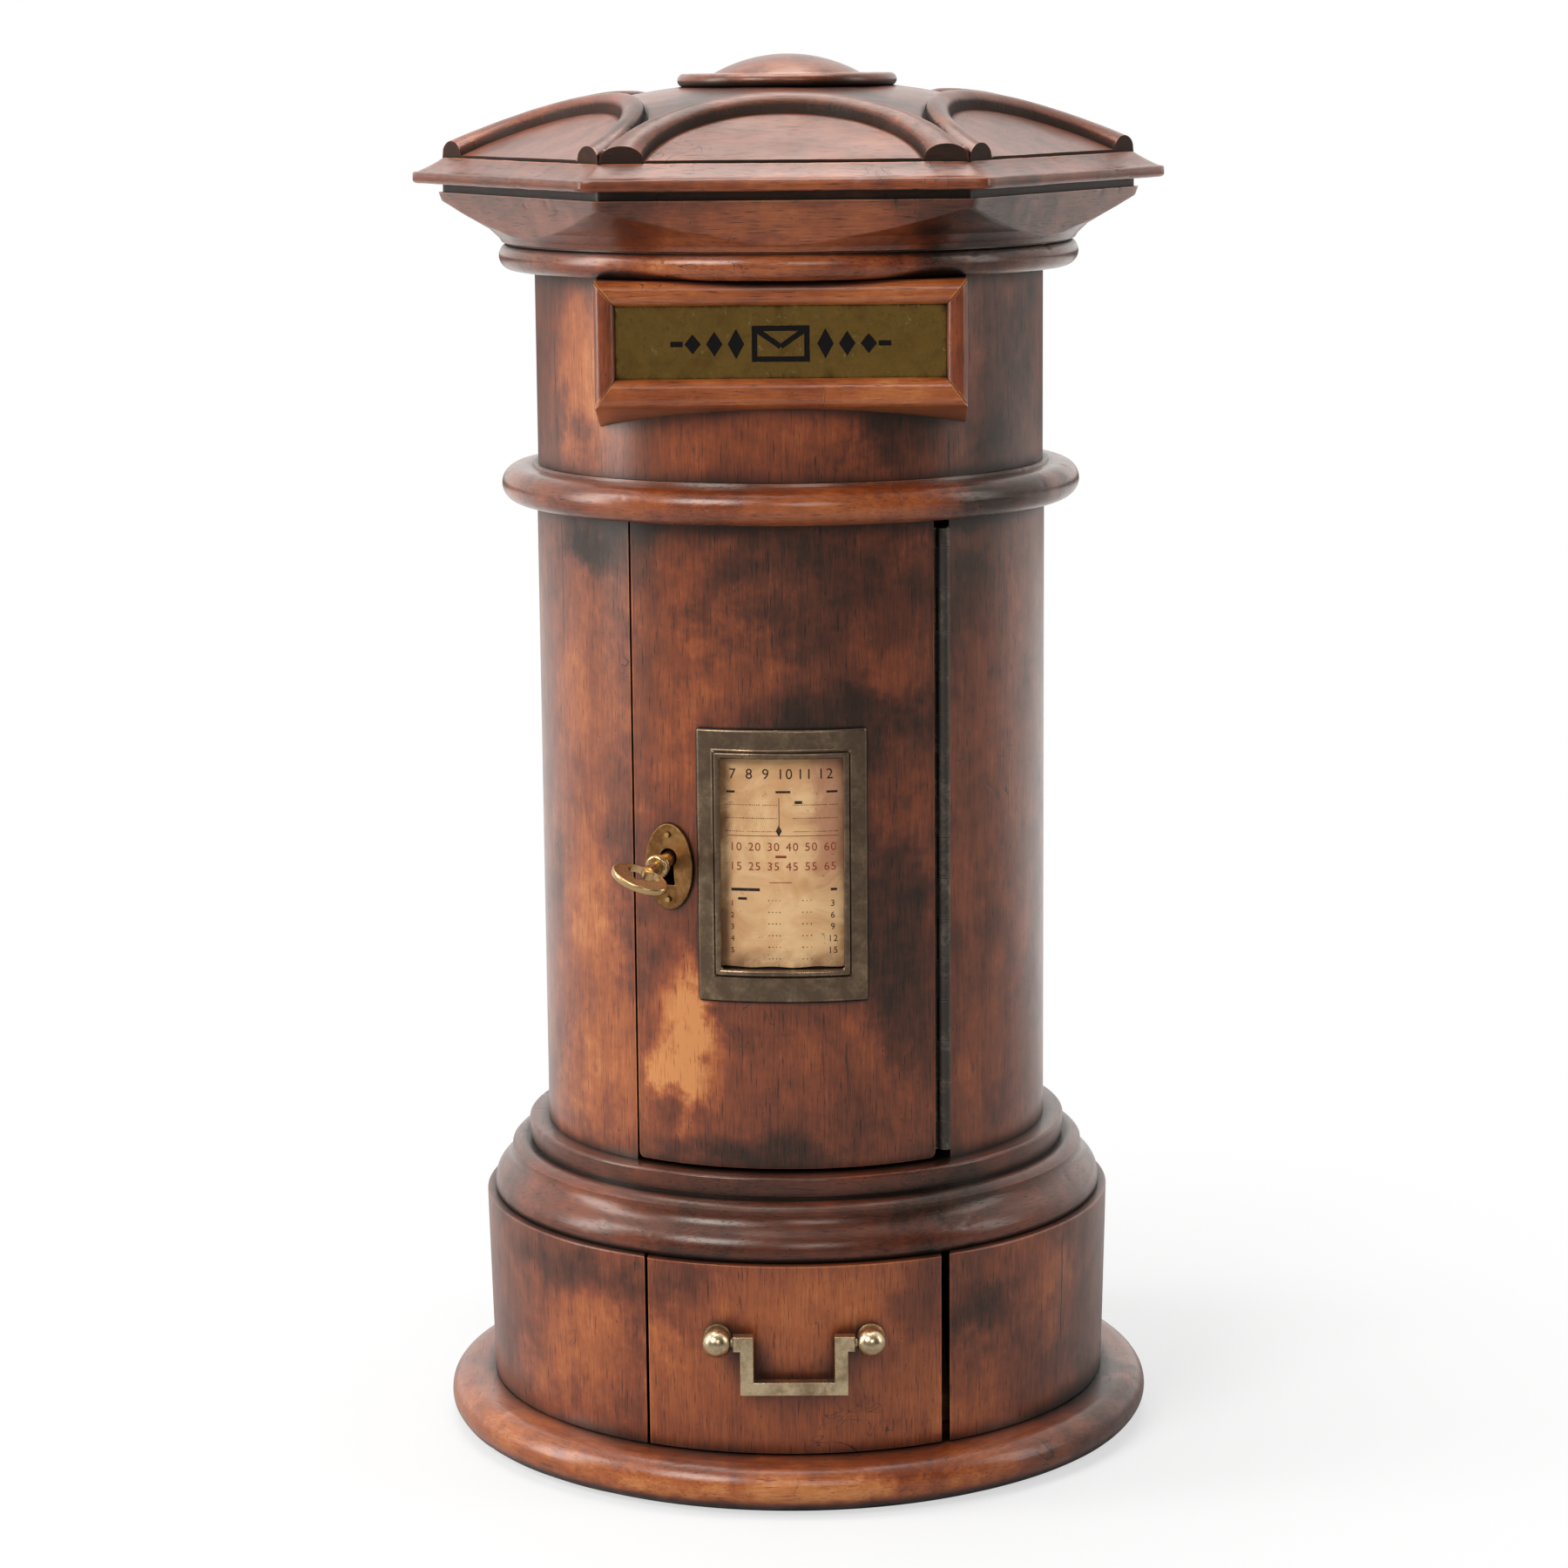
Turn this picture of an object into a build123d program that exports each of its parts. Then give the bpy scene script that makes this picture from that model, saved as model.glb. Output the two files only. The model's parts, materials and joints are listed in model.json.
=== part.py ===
from build123d import *
from math import asin, cos, degrees, radians, sin, sqrt, tan
import os

# A round desk letter box of turned and coopered wood with brass fittings.
# Millimetres. +Z is up, the front faces -Y and the box's left hand side is -X.
# The origin is on the table, on the axis of the turned body.
# An azimuth is an angle about that axis: 0 at the front, positive to the right.

# ---------------------------------------------------------------- driving sizes
# Foot and felt
felt_thickness = 1.2
felt_inset = 8.0
foot_height = 14.9
foot_margin = 14.7

# Plinth drum, which holds the drawer
plinth_height = 62.1
plinth_margin = 2.8
plinth_taper = 1.5
plinth_wall = 8.5

# Base moulding and the floor of the letter compartment
moulding_height = 24.3
moulding_spread = 7.4
moulding_lip_rise = 0.9
moulding_lip_inset = 0.6
moulding_belly_rise = 2.0
moulding_belly_pull = 7.4
moulding_neck_step = 5.9
moulding_neck_rise = 15.0
moulding_neck_pull = 7.0
moulding_fillet_height = 2.0
moulding_quirk_depth = 1.7
moulding_quirk_height = 0.9
moulding_cove_depth = 3.2
moulding_step_drop = 2.3
moulding_step_width = 1.8
ledge_width = 4.9
moulding_bore_step = 1.0
floor_rabbet = 5.0
floor_thickness = 10.0

# Lower column with the door
column_radius = 82.5
column_wall = 9.5
column_height = 205.5
right_jamb_azimuth = 37.2
door_left_gap = 0.86
door_right_azimuth = 33.1
door_bottom_gap = 1.2
door_top_gap = 0.5
door_corner_radius = 2.0

# Waist ring, upper drum and neck bead
waist_height = 11.5
waist_overhang = 11.3
waist_fillet_width = 2.0
waist_fillet_height = 0.9
drum_inset = 0.5
drum_height = 63.0
bead_height = 8.9
bead_overhang = 11.4
bead_top_inset = 2.2

# Cornice, eave plate and roof: hexagons with one flat to the front
cornice_height = 15.6
cornice_foot_step = 1.6
cornice_bottom_inset = 0.1
cornice_spread = 5.4
cornice_neck_inset = 1.2
cornice_neck_height = 3.0
cornice_cove_step = 4.2
cornice_cove_height = 2.9
cornice_lip_spread = 15.5
cornice_lip_height = 11.1
cornice_cove_sag = 1.0
eave_overhang = 7.3
eave_edge_height = 3.7
eave_bevel_height = 2.3
eave_round = 0.9
eave_shelf = 9.1
eave_tuck = 0.6
roof_edge_height = 3.0
dome_height = 25.88
dome_flatness = 538.0
lunette_pitch = 24.2
rib_pitch = 23.74
rib_centre_overhang = 16.0
rib_inner_radius = 46.4
rib_width = 11.6
rib_height = 2.7

# Boss disc and crown cap
boss_radius = 35.2
boss_height = 4.2
crown_radius = 23.7
crown_height = 6.2
spigot_radius = 5.0
spigot_length = 12.0
spigot_clearance = 0.05

# Letter slot: four mitred mouldings round a hinged flap
slot_offset = -1.6
slot_width = 100.6
slot_height = 22.0
slot_bottom_above_waist = 33.3
slot_frame_side = 6.5
slot_frame_top_rise = 7.6
slot_frame_bottom_drop = 8.3
slot_frame_stand = 5.0
slot_frame_round = 3.1
slot_lip_depth = 3.0
slot_rabbet = 2.6
slot_splay_angle = 16.0
mitre_gap = 0.3
mitre_inner_reach = 0.25
mitre_outer_reach = 4.0
flap_thickness = 1.2
flap_round = 0.3
flap_lap = 0.8
flap_lip_gap = 0.15
ear_thickness = 1.4
ear_inset = 3.0
ear_reach = 3.1
ear_radius = 2.1
rod_radius = 1.0
rod_drop = 2.8
rod_socket = 2.0
rod_clearance = 0.05

# Continuous hinge
hinge_pin_stand = 1.0
hinge_pin_radius = 0.8
knuckle_radius = 1.9
knuckle_spacing = 13.1
knuckle_first = 5.8
knuckle_gap = 0.16
hinge_end_gap = 2.6
leaf_thickness = 0.9
leaf_inset = 2.0
leaf_clearance = 0.05
hinge_screw_count = 6
hinge_screw_length = 7.0
hinge_screw_inset = 1.2

# Lock, key and escutcheon
lock_side_gap = 1.57
lock_edge_margin = 13.4
keyhole_height = 202.5
lock_seat_depth = 0.2
lock_left = 10.4
lock_width = 34.0
lock_height = 40.0
lock_depth = 8.6
lock_wall = 0.9
lock_ear = 7.0
lock_ear_thickness = 1.4
lock_screw_length = 5.0
lock_clearance = 0.2
lock_entry = 4.0
lock_stud_gap = 4.0
bolt_thickness = 2.2
bolt_height = 14.0
bolt_length = 27.0
bolt_travel = 5.5
bolt_clearance = 0.2
stud_radius = 1.4
mortise_clearance = 0.6
mortise_room = 3.0
stop_gap_azimuth = 0.4
stop_span_azimuth = 8.0
stop_thickness = 11.0
strike_thickness = 0.8
strike_height = 34.0
strike_width = 8.6
escutcheon_width = 16.8
escutcheon_height = 27.4
escutcheon_thickness = 1.3
escutcheon_round = 0.4
escutcheon_pin_spacing = 20.6
keyhole_radius = 2.9
keyhole_rise = 3.0
keyhole_slot_length = 8.8
keyhole_slot_top = 3.0
keyhole_slot_bottom = 4.4
keyway_radius = 4.0
keyway_slot_width = 5.2
keyway_slot_room = 1.0
keyway_overrun = 2.0
key_droop_angle = 10.0
key_roll_angle = 20.0
key_drop = 0.5
shank_radius = 2.3
key_bit_reach = 8.0
key_bit_length = 1.6
key_bit_thickness = 1.8
key_bit_setback = 1.7
collar_reach = 7.2
collar_radius = 3.9
collar_thickness = 2.0
collar_step = 0.6
collar_round = 0.9
bow_reach = 18.4
bow_width = 19.0
bow_length = 12.6
bow_thickness = 2.4
bow_heart = 2.75
bow_overlap = 1.2
heart_flank_angle = 35.0
bow_round = 0.7

# Card frame and card
card_azimuth = -1.9
card_frame_width = 53.2
card_frame_height = 86.6
card_frame_bottom = 157.6
card_frame_thickness = 1.4
card_window_width = 38.3
card_window_height = 66.8
card_window_rise = 10.6
card_bead_width = 2.2
card_bead_rise = 1.1
card_recess = 2.4
card_thickness = 0.4
card_margin = 2.0
card_clearance = 0.3
card_bed_gap = 0.08

# Drawer
drawer_left = 46.0
drawer_right = 46.3
drawer_left_gap = 0.8
drawer_right_gap = 2.5
drawer_floor_gap = 0.5
drawer_top_gap = 0.3
drawer_front_setback = 9.5
drawer_box_half_width = 41.0
drawer_rear_setback = 21.5
drawer_side_thickness = 6.0
drawer_side_height = 58.5
drawer_bottom_thickness = 3.0
drawer_bottom_rise = 3.0
drawer_groove = 2.0
guide_width = 8.0
guide_height = 9.0
guide_gap = 0.4
guide_setback = 23.5

# Drawer pull: two ball posts and a square bail
post_spacing = 48.1
post_height = 38.5
ball_radius = 4.6
ball_stand = 7.2
post_neck_radius = 2.6
post_collar_radius = 4.3
post_collar_thickness = 1.6
post_stem_radius = 1.7
nut_flats = 6.4
nut_thickness = 2.6
post_stem_end = 1.0
bail_width = 33.7
bail_bar = 4.2
bail_drop = 16.6
bail_stub = 4.8
bail_pivot_radius = 1.5
bail_pivot_length = 2.6
bail_clearance = 0.2
bail_stub_gap = 0.4
bail_round = 0.35

# Small pins and screws
pin_shank_radius = 0.8
pin_head_radius = 1.4
pin_head_height = 1.1
pin_length = 5.0
screw_head_radius = 1.9
screw_shank_radius = 1.0
screw_slot_width = 0.5
screw_slot_depth = 0.45
screw_clearance = 0.05

# ---------------------------------------------------------------- worked-out radii, from the column outwards
body_bore = column_radius - column_wall
floor_radius = body_bore + floor_rabbet
moulding_bore = body_bore + moulding_bore_step
stop_radius = body_bore - stop_thickness
lock_aside = card_frame_width / 2 + lock_side_gap + escutcheon_width / 2
lock_azimuth = card_azimuth - degrees(lock_aside / column_radius)
door_left_azimuth = lock_azimuth - degrees(lock_edge_margin / column_radius)
left_jamb_azimuth = door_left_azimuth - degrees(door_left_gap / column_radius)
lock_seat = body_bore + lock_seat_depth
ledge_radius = column_radius + ledge_width
moulding_neck_radius = ledge_radius + moulding_neck_step
moulding_radius = moulding_neck_radius + moulding_spread
plinth_top_radius = moulding_radius + plinth_margin
plinth_bottom_radius = plinth_top_radius - plinth_taper
plinth_bore = plinth_bottom_radius - plinth_wall
foot_radius = plinth_bottom_radius + foot_margin
drawer_back_plane = plinth_bore - drawer_front_setback
drawer_box_back = plinth_bore - drawer_rear_setback
guide_half_length = plinth_bore - guide_setback
waist_radius = column_radius + waist_overhang
drum_radius = column_radius - drum_inset
waist_fillet_radius = drum_radius + waist_fillet_width
bead_radius = drum_radius + bead_overhang
bead_top_radius = bead_radius - bead_top_inset
cornice_foot_radius = bead_top_radius + cornice_foot_step
cornice_cove_radius = cornice_foot_radius + cornice_cove_step
cornice_lip_radius = cornice_cove_radius + cornice_lip_spread
cornice_bottom_apothem = cornice_foot_radius - cornice_bottom_inset
cornice_apothem = cornice_bottom_apothem + cornice_spread
cornice_neck_apothem = cornice_apothem - cornice_neck_inset
eave_apothem = cornice_apothem + eave_overhang
roof_apothem = eave_apothem - eave_shelf
rib_centre = roof_apothem + rib_centre_overhang
beyond = 2 * foot_radius
near_zero = 0.01

# ---------------------------------------------------------------- worked-out heights
foot_bottom = felt_thickness
foot_top = foot_bottom + foot_height
plinth_top = foot_top + plinth_height
ledge = plinth_top + moulding_height
column_top = ledge + column_height
waist_top = column_top + waist_height
drum_top = waist_top + drum_height
bead_top = drum_top + bead_height
cornice_top = bead_top + cornice_height + cornice_neck_height
eave_top = cornice_top + eave_edge_height + eave_bevel_height
boss_bottom = eave_top + dome_height - boss_radius**2 / dome_flatness
boss_top = boss_bottom + boss_height
box_top = boss_top + crown_height


# ---------------------------------------------------------------- helpers
def on_circle(radius, azimuth, height=0.0):
    """Point at a radius, azimuth and height."""
    angle = radians(azimuth)
    return Vector(radius * sin(angle), -radius * cos(angle), height)


def facing(azimuth, height=0.0):
    """Plane on the axis that looks outwards: its x runs to the right, its y up, its z is the radius."""
    angle = radians(azimuth)
    return Plane(origin=(0, 0, height), x_dir=(cos(angle), sin(angle), 0), z_dir=(sin(angle), -cos(angle), 0))


def turned(*edges):
    """Solid of revolution; the edges are a closed outline of (radius, height) points."""
    return revolve(Plane.XZ * make_face(Curve() + list(edges)), Axis.Z)


def tube(outer, inner, bottom, top):
    return Pos(0, 0, bottom) * extrude(Circle(outer) - Circle(inner), top - bottom)


def disc(radius, bottom, top):
    return Pos(0, 0, bottom) * extrude(Circle(radius), top - bottom)


def block(x0, x1, y0, y1, z0, z1):
    """Box between two limits along each axis."""
    centre = Pos((x0 + x1) / 2, (y0 + y1) / 2, (z0 + z1) / 2)
    return centre * Box(x1 - x0, y1 - y0, z1 - z0)


def sector(start, end, bottom, top):
    """Wedge about the axis between two azimuths, wider than the box."""
    spread = [on_circle(beyond, azimuth) for azimuth in (start, (start + end) / 2, end)]
    corners = [(0, 0)] + [(point.X, point.Y) for point in spread]
    return Pos(0, 0, bottom) * extrude(make_face(Polyline(*corners, close=True)), top - bottom)


def hexagon(apothem, height):
    """Hexagonal face with a flat to the front."""
    return Pos(0, 0, height) * RegularPolygon(apothem, 6, major_radius=False, rotation=0)


def screw(length):
    """Slotted countersunk screw: its head's face is at z = 0 and its shank points down."""
    cone_height = screw_head_radius - screw_shank_radius
    body = Pos(0, 0, -cone_height / 2) * Cone(screw_shank_radius, screw_head_radius, cone_height)
    body += Pos(0, 0, -length / 2) * Cylinder(screw_shank_radius, length)
    return body - Pos(0, 0, -screw_slot_depth / 2) * Box(2 * beyond, screw_slot_width, screw_slot_depth)


def screw_hole(length):
    """Room for a screw, with its clearance all round."""
    cone_height = screw_head_radius - screw_shank_radius
    cone = Cone(screw_shank_radius + screw_clearance, screw_head_radius + screw_clearance, cone_height)
    hole = Pos(0, 0, -cone_height / 2) * cone
    hole += Pos(0, 0, -(length + screw_clearance) / 2) * Cylinder(
        screw_shank_radius + screw_clearance, length + screw_clearance
    )
    mouth = Cylinder(screw_head_radius + screw_clearance, screw_head_radius)
    return hole + Pos(0, 0, screw_head_radius / 2) * mouth


def domed_pin(length):
    """Round-headed pin: its head stands on z = 0 and its shank points down."""
    dome_radius = (pin_head_radius**2 + pin_head_height**2) / (2 * pin_head_height)
    dome = Pos(0, 0, pin_head_height - dome_radius) * Sphere(dome_radius)
    head = dome & (Pos(0, 0, pin_head_height / 2) * Cylinder(2 * pin_head_radius, pin_head_height))
    return head + Pos(0, 0, -length / 2) * Cylinder(pin_shank_radius, length)


def pin_hole(length):
    return Pos(0, 0, -length / 2) * Cylinder(pin_shank_radius + screw_clearance, length)


def largest(piece):
    """The main solid of a piece, without the loose chips of a cut."""
    return Compound([max(piece.solids(), key=lambda solid: solid.volume)])


def group(solids):
    """Separate solids that share one node."""
    return Compound([solid for piece in solids for solid in piece.solids()])


nodes = {}


# ---------------------------------------------------------------- foot and plinth
def make_foot():
    nodes["felt_pad"] = disc(foot_radius - felt_inset, 0, felt_thickness)
    half = foot_height / 2
    flat = foot_radius - half
    nodes["base_foot"] = turned(
        Polyline((flat, foot_top), (0, foot_top), (0, foot_bottom), (flat, foot_bottom)),
        ThreePointArc((flat, foot_bottom), (foot_radius, foot_bottom + half), (flat, foot_top)),
    )


def plinth_body():
    """Tapered drum without its bore."""
    bottom = [(0, foot_top), (plinth_bottom_radius, foot_top)]
    top = [(plinth_top_radius, plinth_top), (0, plinth_top)]
    return turned(Polyline(*bottom, *top, close=True))


def make_plinth():
    drum = plinth_body() - disc(plinth_bore, foot_top, plinth_top)
    left = -drawer_left - drawer_left_gap
    right = drawer_right + drawer_right_gap
    nodes["plinth_drum"] = drum - block(left, right, -beyond, 0, foot_top, plinth_top)
    inner = drawer_box_half_width + guide_gap
    reach = guide_half_length
    guides = [
        block(low, low + guide_width, -reach, reach, foot_top, foot_top + guide_height)
        for low in (inner, -inner - guide_width)
    ]
    nodes["drawer_guides"] = group(guides)


def make_base_moulding():
    shoulder = ledge - floor_thickness
    lip = plinth_top + moulding_lip_rise
    belly = plinth_top + moulding_belly_rise
    neck = plinth_top + moulding_neck_rise
    quirk_radius = moulding_neck_radius - moulding_quirk_depth
    quirk = neck + moulding_fillet_height
    cove = quirk + moulding_quirk_height
    step = ledge - moulding_step_drop
    step_radius = ledge_radius + moulding_step_width
    cove_radius = moulding_neck_radius - moulding_cove_depth
    nodes["base_moulding"] = turned(
        Polyline(
            (quirk_radius, cove),
            (quirk_radius, quirk),
            (moulding_neck_radius, quirk),
            (moulding_neck_radius, neck),
        ),
        Bezier(
            (moulding_neck_radius, neck),
            (moulding_neck_radius, neck - moulding_neck_pull),
            (moulding_radius, belly + moulding_belly_pull),
            (moulding_radius, belly),
        ),
        Polyline(
            (moulding_radius, belly),
            (moulding_radius, lip),
            (moulding_radius - moulding_lip_inset, plinth_top),
            (moulding_bore, plinth_top),
            (moulding_bore, shoulder),
            (floor_radius, shoulder),
            (floor_radius, ledge),
            (ledge_radius, ledge),
        ),
        RadiusArc((ledge_radius, ledge), (step_radius, step), moulding_step_drop + moulding_step_width),
        ThreePointArc((step_radius, step), (cove_radius, (step + cove) / 2), (quirk_radius, cove)),
    )
    nodes["compartment_floor"] = disc(floor_radius, shoulder, ledge)


# ---------------------------------------------------------------- lower column and its door stop
def lock_place(across, up, radius):
    """Point in the lock's own frame: across to the right, up from the keyhole, radius outwards."""
    return facing(lock_azimuth, keyhole_height) * Pos(across, up, radius)


def bolt_back():
    """Inner face of the bolt, measured outwards from the axis."""
    return lock_seat - lock_depth + lock_wall + bolt_clearance


def bolt_channel(left, right, slack):
    """Room for the bolt between two places across, with slack all round."""
    low = bolt_back() - slack
    high = bolt_back() + bolt_thickness + slack
    height = bolt_height + 2 * slack
    return lock_place((left + right) / 2, 0, (low + high) / 2) * Box(right - left, height, high - low)


def strike_blank():
    """Plate on the door stop's face, which looks at the door's free edge."""
    face = facing(stop_edge(), keyhole_height)
    middle = bolt_back() + bolt_thickness / 2
    return face * Pos(-strike_thickness / 2, 0, middle) * Box(strike_thickness, strike_height, strike_width)


def stop_edge():
    """Azimuth of the door stop's face."""
    return left_jamb_azimuth - stop_gap_azimuth


def make_column():
    ring = tube(column_radius, body_bore, ledge, column_top)
    column = ring - sector(left_jamb_azimuth, right_jamb_azimuth, ledge, column_top)
    for place in hinge_screw_places(right_jamb_azimuth, 1):
        column -= place * screw_hole(hinge_screw_length)
    nodes["lower_column"] = column
    strip = tube(body_bore, stop_radius, ledge, column_top)
    strip &= sector(stop_edge() - stop_span_azimuth, stop_edge(), ledge, column_top)
    strip -= strike_blank()
    reach = lock_left + bolt_travel + mortise_room
    mortise = bolt_channel(-reach, -lock_left, mortise_clearance)
    nodes["door_stop"] = strip - mortise
    nodes["strike_plate"] = strike_blank() - mortise


# ---------------------------------------------------------------- waist, upper drum and bead
def make_waist():
    half = waist_height / 2
    flat = waist_radius - half
    nodes["waist_ring"] = turned(
        Polyline(
            (flat, waist_top),
            (waist_fillet_radius, waist_top),
            (waist_fillet_radius, waist_top + waist_fillet_height),
            (drum_radius, waist_top + waist_fillet_height),
            (drum_radius, waist_top),
            (body_bore, waist_top),
            (body_bore, column_top),
            (flat, column_top),
        ),
        ThreePointArc((flat, column_top), (waist_radius, column_top + half), (flat, waist_top)),
    )


def slot_tunnel():
    """The way in for letters, behind the lip of the slot frame."""
    half = slot_width / 2 + slot_rabbet
    return block(
        slot_offset - half,
        slot_offset + half,
        -drum_radius - slot_frame_stand + slot_lip_depth,
        -drum_radius / 2,
        slot_bottom() - slot_rabbet,
        slot_bottom() + slot_height + slot_rabbet,
    )


def slot_bottom():
    return waist_top + slot_bottom_above_waist


def make_upper_drum():
    nodes["upper_drum"] = tube(drum_radius, body_bore, waist_top, drum_top) - slot_tunnel()
    half = bead_height / 2
    flat = bead_radius - half
    shoulder = drum_top + half + sqrt(half**2 - (bead_top_radius - flat) ** 2)
    nodes["neck_bead"] = turned(
        Polyline(
            (bead_top_radius, shoulder),
            (bead_top_radius, bead_top),
            (body_bore, bead_top),
            (body_bore, drum_top),
            (flat, drum_top),
        ),
        ThreePointArc((flat, drum_top), (bead_radius, drum_top + half), (bead_top_radius, shoulder)),
    )


# ---------------------------------------------------------------- cornice, eave and roof
def make_cornice():
    hexagons_top = bead_top + cornice_height
    outline = turned(
        Polyline(
            (cornice_lip_radius, bead_top + cornice_lip_height),
            (beyond, cornice_top),
            (body_bore, cornice_top),
            (body_bore, bead_top),
            (cornice_foot_radius, bead_top),
            (cornice_cove_radius, bead_top + cornice_cove_height),
        ),
        SagittaArc(
            (cornice_cove_radius, bead_top + cornice_cove_height),
            (cornice_lip_radius, bead_top + cornice_lip_height),
            -cornice_cove_sag,
        ),
    )
    frustum = loft([hexagon(cornice_bottom_apothem, bead_top), hexagon(cornice_apothem, hexagons_top)])
    neck = extrude(hexagon(cornice_neck_apothem, hexagons_top), cornice_neck_height)
    nodes["cornice"] = outline & (frustum + neck)
    plate = extrude(hexagon(eave_apothem, cornice_top), eave_edge_height)
    edge_top = cornice_top + eave_edge_height
    plate += loft([hexagon(eave_apothem, edge_top), hexagon(roof_apothem + eave_tuck, eave_top)])
    outer = plate.edges().group_by(Axis.Z)[0] + plate.edges().filter_by(Axis.Z)
    nodes["eave_plate"] = fillet(outer, eave_round)


def rib_frame(azimuth):
    """Plane of one rib's ring: its z is square to the ring and it leans with the roof."""
    outwards = on_circle(1, azimuth)
    lean = radians(rib_pitch)
    centre = eave_top + dome_height - rib_plane_drop(rib_centre)
    normal = outwards * sin(lean) + Vector(0, 0, cos(lean))
    across = on_circle(1, azimuth + 90)
    return Plane(origin=outwards * rib_centre + Vector(0, 0, centre), x_dir=across, z_dir=normal)


def rib_plane_drop(distance):
    """How far the rib's ring lies below the dome's top, at a distance along the facet's middle."""
    reach = rib_inner_radius + rib_width / 2
    top = rib_centre - reach * cos(radians(rib_pitch))
    return top**2 / dome_flatness + (distance - top) * tan(radians(rib_pitch))


def make_roof():
    dome_radius = dome_flatness / 2
    dome_centre = eave_top + dome_height - dome_radius
    sphere = Pos(0, 0, dome_centre) * Sphere(dome_radius)
    ring_radius = rib_inner_radius + rib_width / 2
    tube_radius = ((rib_width / 2) ** 2 + rib_height**2) / (2 * rib_height)
    ring = Pos(0, 0, rib_height - tube_radius) * Torus(ring_radius, tube_radius)
    azimuths = [60 * side for side in range(6)]
    roof = sphere
    for azimuth in azimuths:
        roof += rib_frame(azimuth) * ring
    prism = extrude(hexagon(roof_apothem, eave_top), boss_bottom - eave_top)
    roof = prism & roof
    for azimuth in azimuths:
        outwards = on_circle(1, azimuth)
        fall = radians(lunette_pitch)
        normal = outwards * sin(fall) + Vector(0, 0, cos(fall))
        edge = outwards * roof_apothem + Vector(0, 0, eave_top + roof_edge_height)
        floor = Plane(origin=edge, x_dir=on_circle(1, azimuth + 90), z_dir=normal)
        above = floor * Pos(0, 0, foot_radius / 2) * Box(beyond, beyond, foot_radius)
        well = rib_frame(azimuth) * Cylinder(rib_inner_radius, foot_radius)
        roof -= well & above
    blind = spigot_length - boss_height + spigot_clearance
    roof -= disc(spigot_radius + spigot_clearance, boss_bottom - blind, boss_bottom + blind)
    nodes["roof"] = roof


def make_crown():
    half = boss_height / 2
    flat = boss_radius - half
    boss = turned(
        Polyline((flat, boss_top), (0, boss_top), (0, boss_bottom), (flat, boss_bottom)),
        ThreePointArc((flat, boss_bottom), (boss_radius, boss_bottom + half), (flat, boss_top)),
    )
    nodes["boss_disc"] = boss - disc(spigot_radius + spigot_clearance, boss_bottom, boss_top)
    cap_radius = (crown_radius**2 + crown_height**2) / (2 * crown_height)
    cap = Pos(0, 0, box_top - cap_radius) * Sphere(cap_radius)
    cap &= disc(beyond, boss_top, box_top + crown_height)
    nodes["crown_cap"] = cap + disc(spigot_radius, boss_top - spigot_length, boss_top)


# ---------------------------------------------------------------- letter slot and flap
def rod_place():
    """Height and depth of the flap's rod."""
    flap_back = -drum_radius - slot_frame_stand + slot_lip_depth + flap_lip_gap + flap_thickness
    return slot_bottom() + slot_height + slot_rabbet - rod_drop, flap_back + ear_reach


def make_slot_frame():
    front = -drum_radius - slot_frame_stand
    half = slot_width / 2
    low = slot_bottom() - slot_frame_bottom_drop
    high = slot_bottom() + slot_height + slot_frame_top_rise
    outer = half + slot_frame_side
    depth = drum_radius / 2
    drop = depth * tan(radians(slot_splay_angle))
    side = Plane.YZ * make_face(
        Polyline((front, high), (front, low), (front + depth, low - drop), (front + depth, high), close=True)
    )
    frame = Pos(-outer, 0, 0) * extrude(side, 2 * outer)
    frame -= block(-half, half, front, front + depth, slot_bottom(), slot_bottom() + slot_height)
    frame = fillet(frame.edges().filter_by_position(Axis.Y, front, front), slot_frame_round)
    frame = Pos(slot_offset, 0, 0) * frame - slot_tunnel()
    frame -= disc(drum_radius, slot_bottom() - beyond / 2, bead_top)
    height, depth_of_rod = rod_place()
    socket = half + slot_rabbet + rod_socket + rod_clearance
    rod_room = Rot(0, 90, 0) * Cylinder(rod_radius + rod_clearance, 2 * socket)
    frame -= Pos(slot_offset, depth_of_rod, height) * rod_room
    middle = slot_bottom() + slot_height / 2

    def mitre(side, level, reach):
        """Point on the mitre of one corner; reach is 0 at the opening and 1 at the frame's outer corner."""
        spread = slot_frame_top_rise if level > 0 else slot_frame_bottom_drop
        across = half + reach * slot_frame_side
        up = slot_height / 2 + reach * spread
        return slot_offset + side * across, middle + level * up

    sides = {
        "slot_frame_top": ((-1, 1), (1, 1)),
        "slot_frame_bottom": ((-1, -1), (1, -1)),
        "slot_frame_left": ((-1, -1), (-1, 1)),
        "slot_frame_right": ((1, -1), (1, 1)),
    }
    for name, (first, second) in sides.items():
        apart = Pos((first[0] + second[0]) * mitre_gap / 4, 0, (first[1] + second[1]) * mitre_gap / 4)
        outline = [
            mitre(*first, -mitre_inner_reach),
            mitre(*first, mitre_outer_reach),
            mitre(*second, mitre_outer_reach),
            mitre(*second, -mitre_inner_reach),
        ]
        prism = extrude(Plane.XZ * make_face(Polyline(*outline, close=True)), beyond)
        nodes[name] = largest(frame & (apart * prism))


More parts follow.
